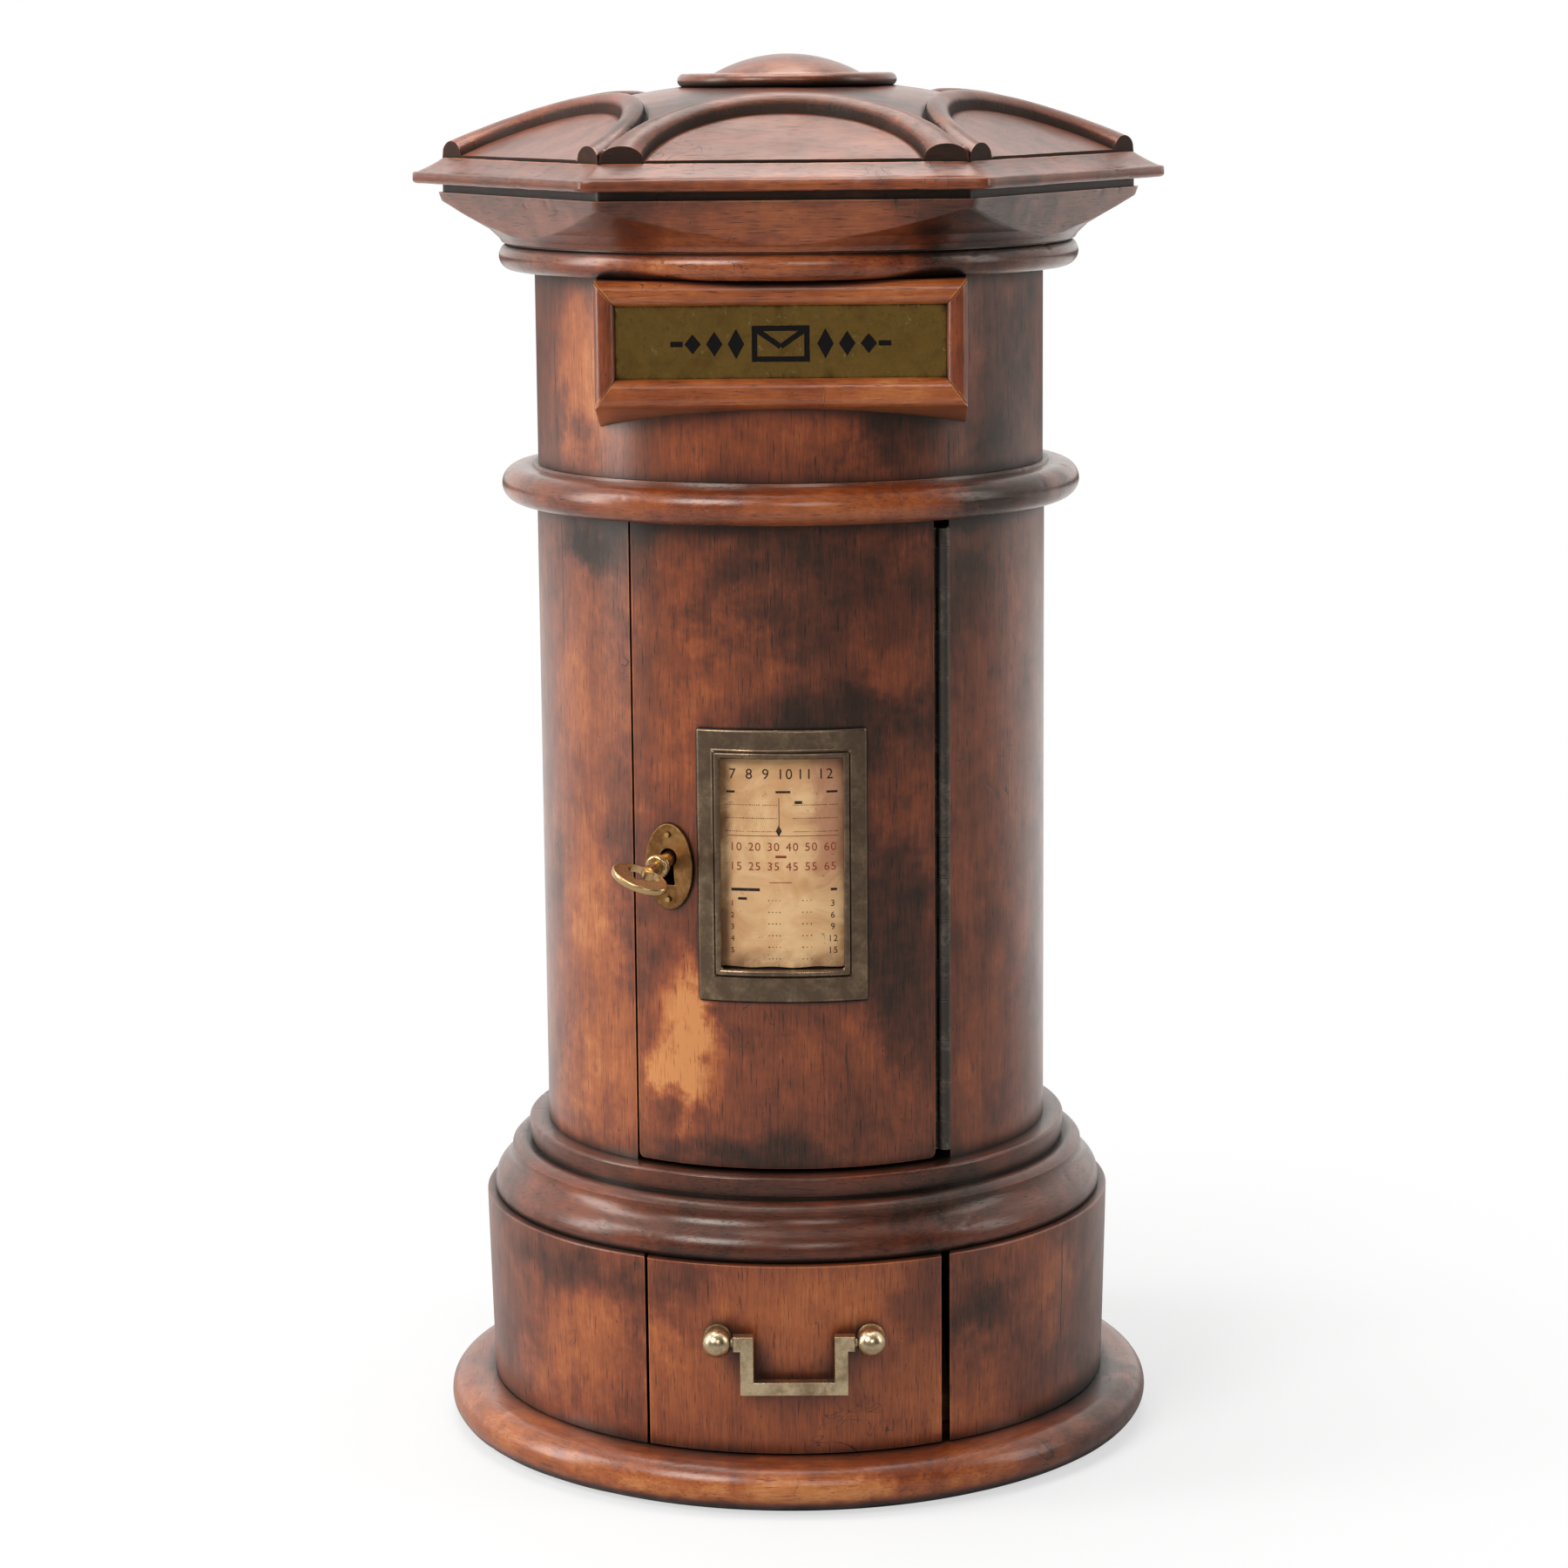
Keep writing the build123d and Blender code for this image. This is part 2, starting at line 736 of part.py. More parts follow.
def make_flap():
    height, depth = rod_place()
    half = slot_width / 2 + flap_lap
    back = depth - ear_reach
    bottom = slot_bottom() - flap_lap
    top = slot_bottom() + slot_height + flap_lap
    plate = block(-half, half, back - flap_thickness, back, bottom, top)
    plate = fillet(plate.edges().filter_by(Axis.X), flap_round)
    for side in (-1, 1):
        middle = side * (half - ear_inset)
        ear = Rot(0, 90, 0) * Cylinder(ear_radius, ear_thickness)
        plate += Pos(middle, depth, height) * ear
        plate += block(
            middle - ear_thickness / 2,
            middle + ear_thickness / 2,
            back - flap_thickness / 2,
            depth,
            height - ear_radius,
            height + ear_radius,
        )
    rod_room = Rot(0, 90, 0) * Cylinder(rod_radius + rod_clearance, 3 * half)
    plate -= Pos(0, depth, height) * rod_room
    nodes["letter_flap"] = Pos(slot_offset, 0, 0) * plate
    rod_half = slot_width / 2 + slot_rabbet + rod_socket
    nodes["flap_rod"] = Pos(slot_offset, depth, height) * (Rot(0, 90, 0) * Cylinder(rod_radius, 2 * rod_half))


# ---------------------------------------------------------------- continuous hinge
def hinge_azimuth():
    return (door_right_azimuth + right_jamb_azimuth) / 2


def hinge_radius():
    return column_radius + hinge_pin_stand


def hinge_span():
    """Bottom and top of the continuous hinge."""
    return ledge + door_bottom_gap + hinge_end_gap, column_top - hinge_end_gap - door_top_gap


def knuckle_levels():
    """Heights at which one knuckle ends and the next begins, from the top down."""
    bottom, top = hinge_span()
    levels = [top, top - knuckle_first]
    while levels[-1] - knuckle_spacing > bottom:
        levels.append(levels[-1] - knuckle_spacing)
    return levels + [bottom]


def hinge_screw_places(azimuth, side):
    """Seats of the screws in one leaf; side is 1 on the jamb and -1 on the door."""
    bottom, top = hinge_span()
    radius = (body_bore + leaf_inset + column_radius) / 2 - hinge_screw_inset
    step = (top - bottom) / hinge_screw_count
    places = []
    for row in range(hinge_screw_count):
        height = bottom + (row + 0.5) * step
        outwards = facing(azimuth)
        origin = outwards.origin + outwards.z_dir * radius - outwards.x_dir * side * leaf_thickness
        origin += Vector(0, 0, height)
        places.append(Plane(origin=origin, x_dir=(0, 0, 1), z_dir=outwards.x_dir * -side))
    return places


def make_leaf(azimuth, side, first):
    """One leaf with its knuckles. Side 1 is on the jamb; first is the place of its top knuckle."""
    bottom, top = hinge_span()
    outwards = facing(azimuth)
    wrap_top = hinge_radius() - knuckle_radius + leaf_thickness
    leaf_bottom = body_bore + leaf_inset
    inner_edge = -side * leaf_thickness
    centre = on_circle(hinge_radius(), hinge_azimuth())
    across = abs((centre - outwards.origin).dot(outwards.x_dir))
    leaf = outwards * block(
        min(0, inner_edge), max(0, inner_edge), bottom, top, leaf_bottom, wrap_top
    )
    levels = knuckle_levels()
    for row in range(first, len(levels) - 1, 2):
        high = levels[row] - knuckle_gap / 2
        low = levels[row + 1] + knuckle_gap / 2
        web_outer = -side * across
        leaf += outwards * block(
            min(0, web_outer), max(0, web_outer), low, high, wrap_top - leaf_thickness, wrap_top
        )
        leaf += Pos(centre.X, centre.Y, (low + high) / 2) * Cylinder(knuckle_radius, high - low)
    for row in range(1 - first, len(levels) - 1, 2):
        high = levels[row] + knuckle_gap / 2
        low = levels[row + 1] - knuckle_gap / 2
        room = Cylinder(knuckle_radius + knuckle_gap, high - low)
        leaf -= Pos(centre.X, centre.Y, (low + high) / 2) * room
    bore = Cylinder(hinge_pin_radius + leaf_clearance, top - bottom + 2 * knuckle_radius)
    leaf -= Pos(centre.X, centre.Y, (bottom + top) / 2) * bore
    for place in hinge_screw_places(azimuth, side):
        leaf -= place * screw_hole(hinge_screw_length)
    return leaf


def make_hinge():
    bottom, top = hinge_span()
    centre = on_circle(hinge_radius(), hinge_azimuth())
    nodes["hinge_leaf_case"] = make_leaf(right_jamb_azimuth, 1, 0)
    nodes["hinge_leaf_door"] = make_leaf(door_right_azimuth, -1, 1)
    pin = Cylinder(hinge_pin_radius, top - bottom)
    nodes["hinge_pin"] = Pos(centre.X, centre.Y, (bottom + top) / 2) * pin
    for name, azimuth, side in (
        ("hinge_screws_case", right_jamb_azimuth, 1),
        ("hinge_screws_door", door_right_azimuth, -1),
    ):
        places = hinge_screw_places(azimuth, side)
        nodes[name] = group([place * screw(hinge_screw_length) for place in places])


# ---------------------------------------------------------------- door
def lock_screw_places():
    """Seats of the four lock screws, whose heads lie on the inner face of the ears."""
    left = -lock_left + lock_ear
    right = lock_width - lock_left - lock_ear
    level = (lock_height + lock_ear) / 2
    radius = lock_seat - lock_ear_thickness
    places = []
    for across in (left, right):
        for up in (-level, level):
            spot = Plane(lock_place(across, up, radius))
            places.append(Plane(origin=spot.origin, x_dir=(0, 0, 1), z_dir=-facing(lock_azimuth).z_dir))
    return places


def escutcheon_pin_places():
    outer = column_radius + escutcheon_thickness
    middle = -keyhole_rise
    return [lock_place(0, middle + side * escutcheon_pin_spacing / 2, outer) for side in (-1, 1)]


def card_outline(width, height, bottom, inner, outer):
    """Block through the door's front over a rectangle, between two distances from the axis."""
    span = facing(card_azimuth, bottom + height / 2)
    return span * Pos(0, 0, (inner + outer) / 2) * Box(width, height, outer - inner)


def card_pin_places():
    """Seats of the four hidden pins behind the card frame's corners."""
    places = []
    inset = (card_frame_width - card_window_width) / 4
    for side in (-1, 1):
        for up in (inset, card_frame_height - inset):
            across = side * (card_frame_width / 2 - inset)
            azimuth = card_azimuth + degrees(asin(across / column_radius))
            places.append(facing(azimuth, card_frame_bottom + up) * Pos(0, 0, column_radius))
    return places


def keyway():
    """Rough way through the door for the key."""
    middle = (lock_seat + column_radius) / 2
    depth = column_wall + 2 * keyway_overrun
    hole = lock_place(0, key_drop, middle) * Cylinder(keyway_radius, depth)
    slot_length = keyhole_slot_length + keyway_slot_room + key_drop
    slot = lock_place(0, key_drop - slot_length / 2, middle) * Box(keyway_slot_width, slot_length, depth)
    return hole + slot


def make_door():
    bottom = ledge + door_bottom_gap
    top = column_top - door_top_gap
    panel = tube(column_radius, body_bore, bottom, top)
    panel &= sector(door_left_azimuth, door_right_azimuth, bottom, top)
    free_edges = [
        edge
        for edge in panel.edges().filter_by(GeomType.LINE)
        if abs(edge.tangent_at(0).Z) < 0.5 and abs(edge.center().Z - bottom) < near_zero
    ]
    panel = fillet(free_edges, door_corner_radius)
    seat_bottom = -lock_height / 2 - lock_ear - lock_clearance
    seat_left = -lock_left - lock_entry
    seat_right = lock_width - lock_left + lock_clearance
    seat_width = seat_right - seat_left
    seat = Box(seat_width, -2 * seat_bottom, lock_depth)
    panel -= lock_place((seat_left + seat_right) / 2, 0, lock_seat - lock_depth / 2) * seat
    panel -= keyway()
    for place in lock_screw_places():
        panel -= place * screw_hole(lock_screw_length)
    for place in escutcheon_pin_places():
        panel -= place * pin_hole(pin_length + screw_clearance)
    for place in hinge_screw_places(door_right_azimuth, -1):
        panel -= place * screw_hole(hinge_screw_length)
    for place in card_pin_places():
        panel -= place * pin_hole(pin_length + screw_clearance)
    pocket = card_outline(
        card_window_width + 2 * card_margin,
        card_window_height + 2 * card_margin,
        card_frame_bottom + card_window_rise - card_margin,
        0,
        beyond,
    )
    floor = column_radius - card_recess
    panel -= pocket & tube(beyond, floor, bottom, top)
    nodes["door_panel"] = panel
    sheet = card_outline(
        card_window_width + 2 * (card_margin - card_clearance),
        card_window_height + 2 * (card_margin - card_clearance),
        card_frame_bottom + card_window_rise - card_margin + card_clearance,
        0,
        beyond,
    )
    bed = floor + card_bed_gap
    nodes["card"] = sheet & tube(bed + card_thickness, bed, bottom, top)


def make_card_frame():
    bottom = card_frame_bottom
    top = bottom + card_frame_height
    outer = column_radius + card_frame_thickness
    rise = bottom + card_window_rise
    plate = card_outline(card_frame_width, card_frame_height, bottom, 0, beyond)
    frame = plate & tube(outer, column_radius, bottom, top)
    bead = card_outline(
        card_window_width + 2 * card_bead_width,
        card_window_height + 2 * card_bead_width,
        rise - card_bead_width,
        0,
        beyond,
    )
    frame += bead & tube(outer + card_bead_rise, column_radius, bottom, top)
    frame -= card_outline(card_window_width, card_window_height, rise, 0, beyond)
    nodes["card_frame"] = frame
    pin = Pos(0, 0, -pin_length / 2) * Cylinder(pin_shank_radius, pin_length)
    nodes["card_frame_pins"] = group([place * pin for place in card_pin_places()])


def make_lock():
    middle = lock_width / 2 - lock_left
    body_middle = lock_seat - lock_depth / 2
    case = lock_place(middle, 0, body_middle) * Box(lock_width, lock_height, lock_depth)
    ear_level = lock_seat - lock_ear_thickness / 2
    ears = Box(lock_width, lock_height + 2 * lock_ear, lock_ear_thickness)
    case += lock_place(middle, 0, ear_level) * ears
    room_depth = lock_depth - lock_wall
    room = Box(lock_width - 2 * lock_wall, lock_height - 2 * lock_wall, room_depth)
    case -= lock_place(middle, 0, lock_seat - room_depth / 2) * room
    case -= bolt_channel(-lock_left - lock_wall, -lock_left + 2 * lock_wall, bolt_clearance)
    for place in lock_screw_places():
        case -= place * screw_hole(lock_screw_length)
    stud_back = lock_seat - lock_depth + lock_wall / 2
    stud_front = bolt_back() + bolt_thickness + bolt_clearance
    stud_length = stud_front - stud_back
    stud_across = bolt_stud_across()
    case += lock_place(stud_across, 0, (stud_back + stud_front) / 2) * Cylinder(stud_radius, stud_length)
    nodes["lock_case"] = case
    nodes["lock_screws"] = group([place * screw(lock_screw_length) for place in lock_screw_places()])


def bolt_stud_across():
    """Place of the stud that guides the bolt, right of the key's sweep."""
    return key_bit_reach + lock_stud_gap


def make_bolt():
    left = -lock_left + bolt_clearance
    bolt = bolt_channel(left, left + bolt_length, 0)
    slot_left = bolt_stud_across() - stud_radius - bolt_clearance
    slot_right = bolt_stud_across() + stud_radius + bolt_travel + bolt_clearance
    slot_width_up = 2 * (stud_radius + bolt_clearance)
    middle = bolt_back() + bolt_thickness / 2
    slot = Box(slot_right - slot_left, slot_width_up, 2 * bolt_thickness)
    bolt -= lock_place((slot_left + slot_right) / 2, 0, middle) * slot
    notch = lock_place(0, -bolt_height / 2, middle) * Cylinder(2 * stud_radius, 2 * bolt_thickness)
    nodes["lock_bolt"] = bolt - notch


def make_escutcheon():
    outer = column_radius + escutcheon_thickness
    middle = column_radius + escutcheon_thickness / 2
    plate = extrude(Ellipse(escutcheon_width / 2, escutcheon_height / 2), escutcheon_thickness)
    plate = fillet(plate.edges().group_by(Axis.Z)[-1], escutcheon_round)
    plate = lock_place(0, -keyhole_rise, column_radius) * plate
    plate -= lock_place(0, 0, middle) * Cylinder(keyhole_radius, 2 * escutcheon_thickness)
    slot = make_face(
        Polyline(
            (-keyhole_slot_top / 2, 0),
            (keyhole_slot_top / 2, 0),
            (keyhole_slot_bottom / 2, -keyhole_slot_length),
            (-keyhole_slot_bottom / 2, -keyhole_slot_length),
            close=True,
        )
    )
    through = 2 * escutcheon_thickness
    plate -= lock_place(0, 0, middle - through / 2) * extrude(slot, through)
    for place in escutcheon_pin_places():
        plate -= place * pin_hole(outer)
    nodes["escutcheon"] = plate
    nodes["escutcheon_pins"] = group([place * domed_pin(pin_length) for place in escutcheon_pin_places()])


def key_frame():
    """Frame of the key: x across the bow, z along the shank towards the hand."""
    out = facing(lock_azimuth)
    droop = radians(key_droop_angle)
    along = out.z_dir * cos(droop) - Vector(0, 0, sin(droop))
    up = out.z_dir * sin(droop) + Vector(0, 0, cos(droop))
    roll = radians(key_roll_angle)
    across = out.x_dir * cos(roll) - up * sin(roll)
    face = column_radius + escutcheon_thickness
    origin = out.z_dir * face + Vector(0, 0, keyhole_height - key_drop)
    return Plane(origin=origin, x_dir=across, z_dir=along)


def heart():
    """Heart-shaped opening of the bow, its point away from the shank."""
    lobe = bow_heart
    point = 2 * lobe
    shape = Pos(-lobe, 0) * Circle(lobe) + Pos(lobe, 0) * Circle(lobe)
    flank = lobe * (1 + cos(radians(heart_flank_angle)))
    level = lobe * sin(radians(heart_flank_angle))
    return shape + make_face(Polyline((-flank, level), (0, point), (flank, level), (0, 0), close=True))


def make_key():
    frame = key_frame()
    shank_top = bow_reach - bow_length / 2 + bow_overlap
    seat_reach = column_radius + escutcheon_thickness - lock_seat + key_bit_setback
    bit_depth = seat_reach / cos(radians(key_droop_angle)) + key_bit_length
    shank = Pos(0, 0, (shank_top - bit_depth) / 2) * Cylinder(shank_radius, shank_top + bit_depth)
    bit_block = Box(key_bit_reach, key_bit_thickness, key_bit_length)
    bit = Pos(key_bit_reach / 2, 0, key_bit_length / 2 - bit_depth) * bit_block
    key = shank + bit
    lower = collar_reach - collar_thickness
    for level, radius in ((collar_reach, collar_radius), (lower, collar_radius - collar_step)):
        ring = Cylinder(radius, collar_thickness)
        ring = fillet(ring.edges(), collar_round)
        key += Pos(0, 0, level) * ring
    bow = extrude(Plane.XZ * Ellipse(bow_width / 2, bow_length / 2), bow_thickness / 2, both=True)
    bow = fillet(bow.edges().filter_by(GeomType.ELLIPSE), bow_round)
    opening = Plane.XZ * (Pos(0, -bow_length / 4 + bow_heart / 4) * heart())
    bow -= extrude(opening, bow_thickness, both=True)
    key += Pos(0, 0, bow_reach) * bow
    nodes["key"] = frame * key


# ---------------------------------------------------------------- drawer and its pull
def post_seat_depth():
    """Depth of the drawer's front face where a post stands, as a negative y."""
    taper = (plinth_top_radius - plinth_bottom_radius) * post_height / plinth_height
    return -sqrt((plinth_bottom_radius + taper) ** 2 - (post_spacing / 2) ** 2)


def bail_axis():
    """Height and depth of the bail's pivots."""
    return foot_top + post_height, post_seat_depth() - ball_stand


def make_drawer():
    low = foot_top + drawer_floor_gap
    high = plinth_top - drawer_top_gap
    front = plinth_body() & block(-drawer_left, drawer_right, -beyond, -drawer_back_plane, low, high)
    height, depth = bail_axis()
    for side in (-1, 1):
        stem = Rot(90, 0, 0) * Cylinder(post_stem_radius + screw_clearance, beyond)
        front -= Pos(side * post_spacing / 2, depth, height) * stem
    groove_low = low + drawer_bottom_rise
    groove_high = groove_low + drawer_bottom_thickness
    half = drawer_box_half_width
    inner = half - drawer_side_thickness
    groove_half = inner + drawer_groove
    back_front = drawer_box_back - drawer_side_thickness
    panel = block(
        -groove_half,
        groove_half,
        -drawer_back_plane - drawer_groove,
        back_front,
        groove_low,
        groove_high,
    )
    nodes["drawer_front"] = front - panel
    nodes["drawer_bottom"] = panel
    side_top = low + drawer_side_height
    for name, side in (("drawer_side_left", -1), ("drawer_side_right", 1)):
        x_limits = sorted((side * inner, side * half))
        wall = block(*x_limits, -drawer_back_plane, drawer_box_back, low, side_top)
        nodes[name] = wall - panel
    nodes["drawer_back"] = block(-inner, inner, back_front, drawer_box_back, low, side_top)


def make_pull():
    height, depth = bail_axis()
    seat = post_seat_depth()
    posts = []
    nuts = []
    socket = bail_pivot_radius + bail_clearance
    for side in (-1, 1):
        x = side * post_spacing / 2
        collar_back = seat - post_collar_thickness
        stem_end = -drawer_back_plane + nut_thickness + post_stem_end
        seam_to_front = Rot(0, 0, -90)
        post = Pos(x, depth, height) * seam_to_front * Sphere(ball_radius)
        flat = sqrt(plinth_bottom_radius**2 - (post_spacing / 2 + post_collar_radius) ** 2)
        pieces = (
            (post_neck_radius, depth, seat),
            (post_collar_radius, collar_back, -flat),
            (post_stem_radius, seat, stem_end),
        )
        for radius, start, end in pieces:
            rod = Rot(90, 0, 0) * Cylinder(radius, abs(end - start))
            post += Pos(x, (start + end) / 2, height) * rod
        post -= nodes["drawer_front"]
        post = largest(post)
        inner_x = x - side * ball_radius
        room = Rot(0, 90, 0) * Cylinder(socket, 2 * (bail_pivot_length + bail_clearance))
        posts.append(post - Pos(inner_x, depth, height) * room)
        nut = Rot(90, 0, 0) * extrude(RegularPolygon(nut_flats / 2, 6, major_radius=False), nut_thickness)
        nut -= Rot(90, 0, 0) * Cylinder(post_stem_radius + screw_clearance, beyond)
        nuts.append(Pos(x, -drawer_back_plane + nut_thickness, height) * nut)
    nodes["handle_posts"] = group(posts)
    nodes["handle_nuts"] = group(nuts)
    half = bail_width / 2
    bar = bail_bar / 2
    bottom = height - bail_drop
    top = height + bail_stub / 2
    bail = block(-half, half, depth - bar, depth + bar, bottom, top)
    inner = half - bail_bar
    bail -= block(-inner, inner, depth - beyond, depth + beyond, bottom + bail_bar, top + bail_bar)
    stub_end = post_spacing / 2 - ball_radius - bail_stub_gap
    for side in (-1, 1):
        x_limits = sorted((side * (half - bar), side * stub_end))
        bail += block(*x_limits, depth - bar, depth + bar, height - bail_stub / 2, top)
    bail = fillet(bail.edges().filter_by(Axis.X) + bail.edges().filter_by(Axis.Z), bail_round)
    for side in (-1, 1):
        pivot_end = side * (post_spacing / 2 - ball_radius + bail_pivot_length)
        pivot_start = side * (half - bar)
        rod = Rot(0, 90, 0) * Cylinder(bail_pivot_radius, abs(pivot_end - pivot_start))
        bail += Pos((pivot_start + pivot_end) / 2, depth, height) * rod
    nodes["bail"] = bail


# ---------------------------------------------------------------- build and write
for make in (
    make_foot,
    make_plinth,
    make_base_moulding,
    make_column,
    make_waist,
    make_upper_drum,
    make_cornice,
    make_roof,
    make_crown,
    make_slot_frame,
    make_flap,
    make_hinge,
    make_door,
    make_card_frame,
    make_lock,
    make_bolt,
    make_escutcheon,
    make_key,
    make_drawer,
    make_pull,
):
    make()

os.makedirs("parts", exist_ok=True)
for name, part in nodes.items():
    export_step(part, f"parts/{name}.step")
hinge = on_circle(hinge_radius(), hinge_azimuth())
print("box height", round(box_top, 2))
print("hinge axis", round(hinge.X, 3), round(hinge.Y, 3))
print("flap rod height, depth", [round(value, 3) for value in rod_place()])
print("bail height, depth", [round(value, 3) for value in bail_axis()])
print("key origin", key_frame().origin, "along", key_frame().z_dir)
print("bolt direction", -facing(lock_azimuth).x_dir)
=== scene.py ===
"""A desk letter box of turned mahogany with brass fittings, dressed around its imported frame.

Blender works in metres here; sizes in this file are named in millimetres and scaled by MM.
+Z is up and the front faces -Y. An azimuth turns about +Z: 0 at the front, positive to the right.
"""

import json
import math

import bmesh
import bpy
import numpy as np
from mathutils import Matrix, Vector

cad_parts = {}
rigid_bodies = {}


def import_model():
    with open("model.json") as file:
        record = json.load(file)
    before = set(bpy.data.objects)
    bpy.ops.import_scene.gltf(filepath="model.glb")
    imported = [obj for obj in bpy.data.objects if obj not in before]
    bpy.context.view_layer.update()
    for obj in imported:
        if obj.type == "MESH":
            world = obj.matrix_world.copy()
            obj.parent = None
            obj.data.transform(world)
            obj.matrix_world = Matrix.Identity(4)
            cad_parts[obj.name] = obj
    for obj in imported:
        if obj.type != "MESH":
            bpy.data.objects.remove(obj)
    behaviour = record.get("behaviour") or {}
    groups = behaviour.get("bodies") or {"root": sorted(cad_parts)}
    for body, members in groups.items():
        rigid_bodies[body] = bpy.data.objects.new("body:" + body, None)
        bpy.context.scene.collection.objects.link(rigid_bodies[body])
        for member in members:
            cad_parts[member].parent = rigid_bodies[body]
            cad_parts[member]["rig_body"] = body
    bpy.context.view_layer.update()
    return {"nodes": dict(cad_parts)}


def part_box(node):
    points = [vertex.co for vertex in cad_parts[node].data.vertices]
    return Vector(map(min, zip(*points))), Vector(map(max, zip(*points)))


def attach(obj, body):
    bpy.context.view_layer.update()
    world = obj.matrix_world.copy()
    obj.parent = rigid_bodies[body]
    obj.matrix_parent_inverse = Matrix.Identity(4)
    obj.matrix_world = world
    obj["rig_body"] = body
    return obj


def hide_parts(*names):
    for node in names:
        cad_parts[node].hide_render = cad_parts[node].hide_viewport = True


for leftover in list(bpy.data.objects):
    bpy.data.objects.remove(leftover)
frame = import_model()

MM = 0.001
NODES = frame["nodes"]

# ---------------------------------------------------------------- sizes in millimetres
# Facets round the axis
PAD_FACETS = 200
FOOT_FACETS = 720
RING_FACETS = 640
BOSS_FACETS = 360
CROWN_FACETS = 240
HEAD_FACETS = 720

# Turned pieces
FELT_EDGE = 0.5
FELT_FLAT = 0.4
FOOT_CORE = 109.2
FOOT_SEAT = 70.0
MOULDING_RADIUS = 100.7
MOULDING_SIDE = 2.0
MOULDING_FOOT = 0.9
MOULDING_FOOT_INSET = 0.6
MOULDING_SWELL = 9.4
MOULDING_NECK = 94.8
MOULDING_NECK_RISE = 15.0
MOULDING_NECK_PULL = 7.0
MOULDING_BORE = 74.0
QUIRK_RISE = 2.0
QUIRK_LIP = 0.2
QUIRK_BULGE = -0.9
FLOOR_RADIUS = 78.0
FLOOR_THICKNESS = 10.0
LEDGE_RADIUS = 89.0
LEDGE_COVE = 0.9
LEDGE_ROUND = 1.1
LEDGE_UNDERCUT = 0.4
LEDGE_LIFT = 0.2
BODY_BORE = 73.0
DRUM_RADIUS = 82.0
WAIST_FILLET_RADIUS = 84.0
WAIST_FILLET_HEIGHT = 0.9
WAIST_FILLET_DRAFT = 0.25
BEAD_TOP_RADIUS = 91.2
BOSS_FACE = 24.0
SPIGOT_RADIUS = 5.0
SPIGOT_HOLE = 5.05

# Cornice and eave. The flare gives a radius and its rise over the cornice's foot
CORNICE_FLARE = (
    (92.3, 0.0), (93.2, 1.4), (96.4, 4.4), (102.4, 7.9), (108.3, 11.1), (112.6, 13.2), (116.5, 14.7),
)
CORNICE_HEIGHT = 15.6
CORNICE_LEVELS = 80
CORNICE_BOTTOM_APOTHEM = 93.4
CORNICE_APOTHEM = 98.1
CORNICE_NECK_APOTHEM = 96.9
CORNICE_CORNER = 0.5
CORNICE_MEETING = 0.1
EAVE_APOTHEM = 105.4
EAVE_BORE = 60.0
EAVE_CORNER = 0.7
EAVE_EDGE = 3.4
EAVE_LOWER_ROUND = 1.0
EAVE_UPPER_ROUND = 0.7
EAVE_UPPER_DROP = 0.6
EAVE_SLOPE_INSET = 1.4
EAVE_SLOPE_LIFT = 0.2
EAVE_ROOF_LAP = 0.4
EAVE_REBATE = 0.3
EAVE_FILLET = 2.0
EAVE_HOLLOW = -0.25
CORNER_SOFTNESS = 2.2

# Roof
ROOF_APOTHEM = 96.3
ROOF_EDGE = 3.0
ROOF_STEPS = 168
DOME_HEIGHT = 25.88
DOME_RADIUS = 269.0
BOSS_SEAT = 34.0
LUNETTE_PITCH = 24.2
RIB_PITCH = 23.74
RIB_CENTRE = 112.3
RIB_SWEEP = 70.0
RIB_INNER_CROWN = 50.2
RIB_INNER_FOOT = 45.2
RIB_OUTER = 58.0
RIB_RING = 52.2
RIB_HEIGHT = 2.9
RIB_WALL = 0.62
RIB_SQUARENESS = 2.2
RIB_ROUNDNESS = 0.8
GROOVE_DEPTH = 0.4
OUTER_GROOVE_OFFSET = 0.3
OUTER_GROOVE_WIDTH = 0.6
INNER_GROOVE_WIDTH = 0.8
FIELD_MARGIN = 0.05
NET_REACH = 0.34
NET_MARGIN = 0.5

# Waves and dents of a hand-turned surface
WAVE_LENGTHS = (47.0, 23.0, 11.0)
WAVE_PACE = 3.2
DENTED_BEYOND = 75.0
DENT_SIZES = (0.7, 1.9)
DENT_DEPTHS = (0.08, 0.26)

# Card and its window
CARD_AZIMUTH = -1.9
CARD_BED = 80.18
CARD_THICKNESS = 0.4
CARD_SHEET = 0.3
CARD_HALF_WIDTH = 20.0
CARD_COLUMNS = 40
CARD_ROWS = 64
CARD_BOTTOM = 168.5
CARD_TOP = 236.4
CARD_RAGGED = 0.15
CURL_START = 175.0
CURL_RUN = 6.0
CURL_LIFT = 0.35
CURL_LIMIT = 0.5
CARD_RIPPLE = 0.05
WINDOW_BOTTOM = 168.2
INK_LIFT = 0.03
INK_THICKNESS = 0.02

# Marks on the card, each with its place across the card and over the window's foot
TOP_NUMBERS = (("7", -15.4), ("8", -10.2), ("9", -5.0), ("10", 1.0), ("11", 7.2), ("12", 13.6))
TOP_NUMBER_SIZE = 4.6
TOP_NUMBER_LEVEL = 61.4
BLACK_BARS = (
    (2.6, 0.7, -16.0, 55.9),
    (4.6, 0.7, 0.4, 55.9),
    (3.4, 0.7, 15.6, 55.9),
    (2.4, 0.9, 5.2, 52.6),
    (0.2, 10.0, -0.9, 49.0),
    (9.0, 0.95, -11.6, 24.9),
    (2.8, 0.8, -12.6, 22.0),
    (2.0, 0.8, 16.0, 24.9),
)
RED_BARS = ((35.0, 0.22, 0.3, 42.0), (7.0, 0.24, -0.6, 27.2), (3.4, 0.8, -0.4, 35.4))
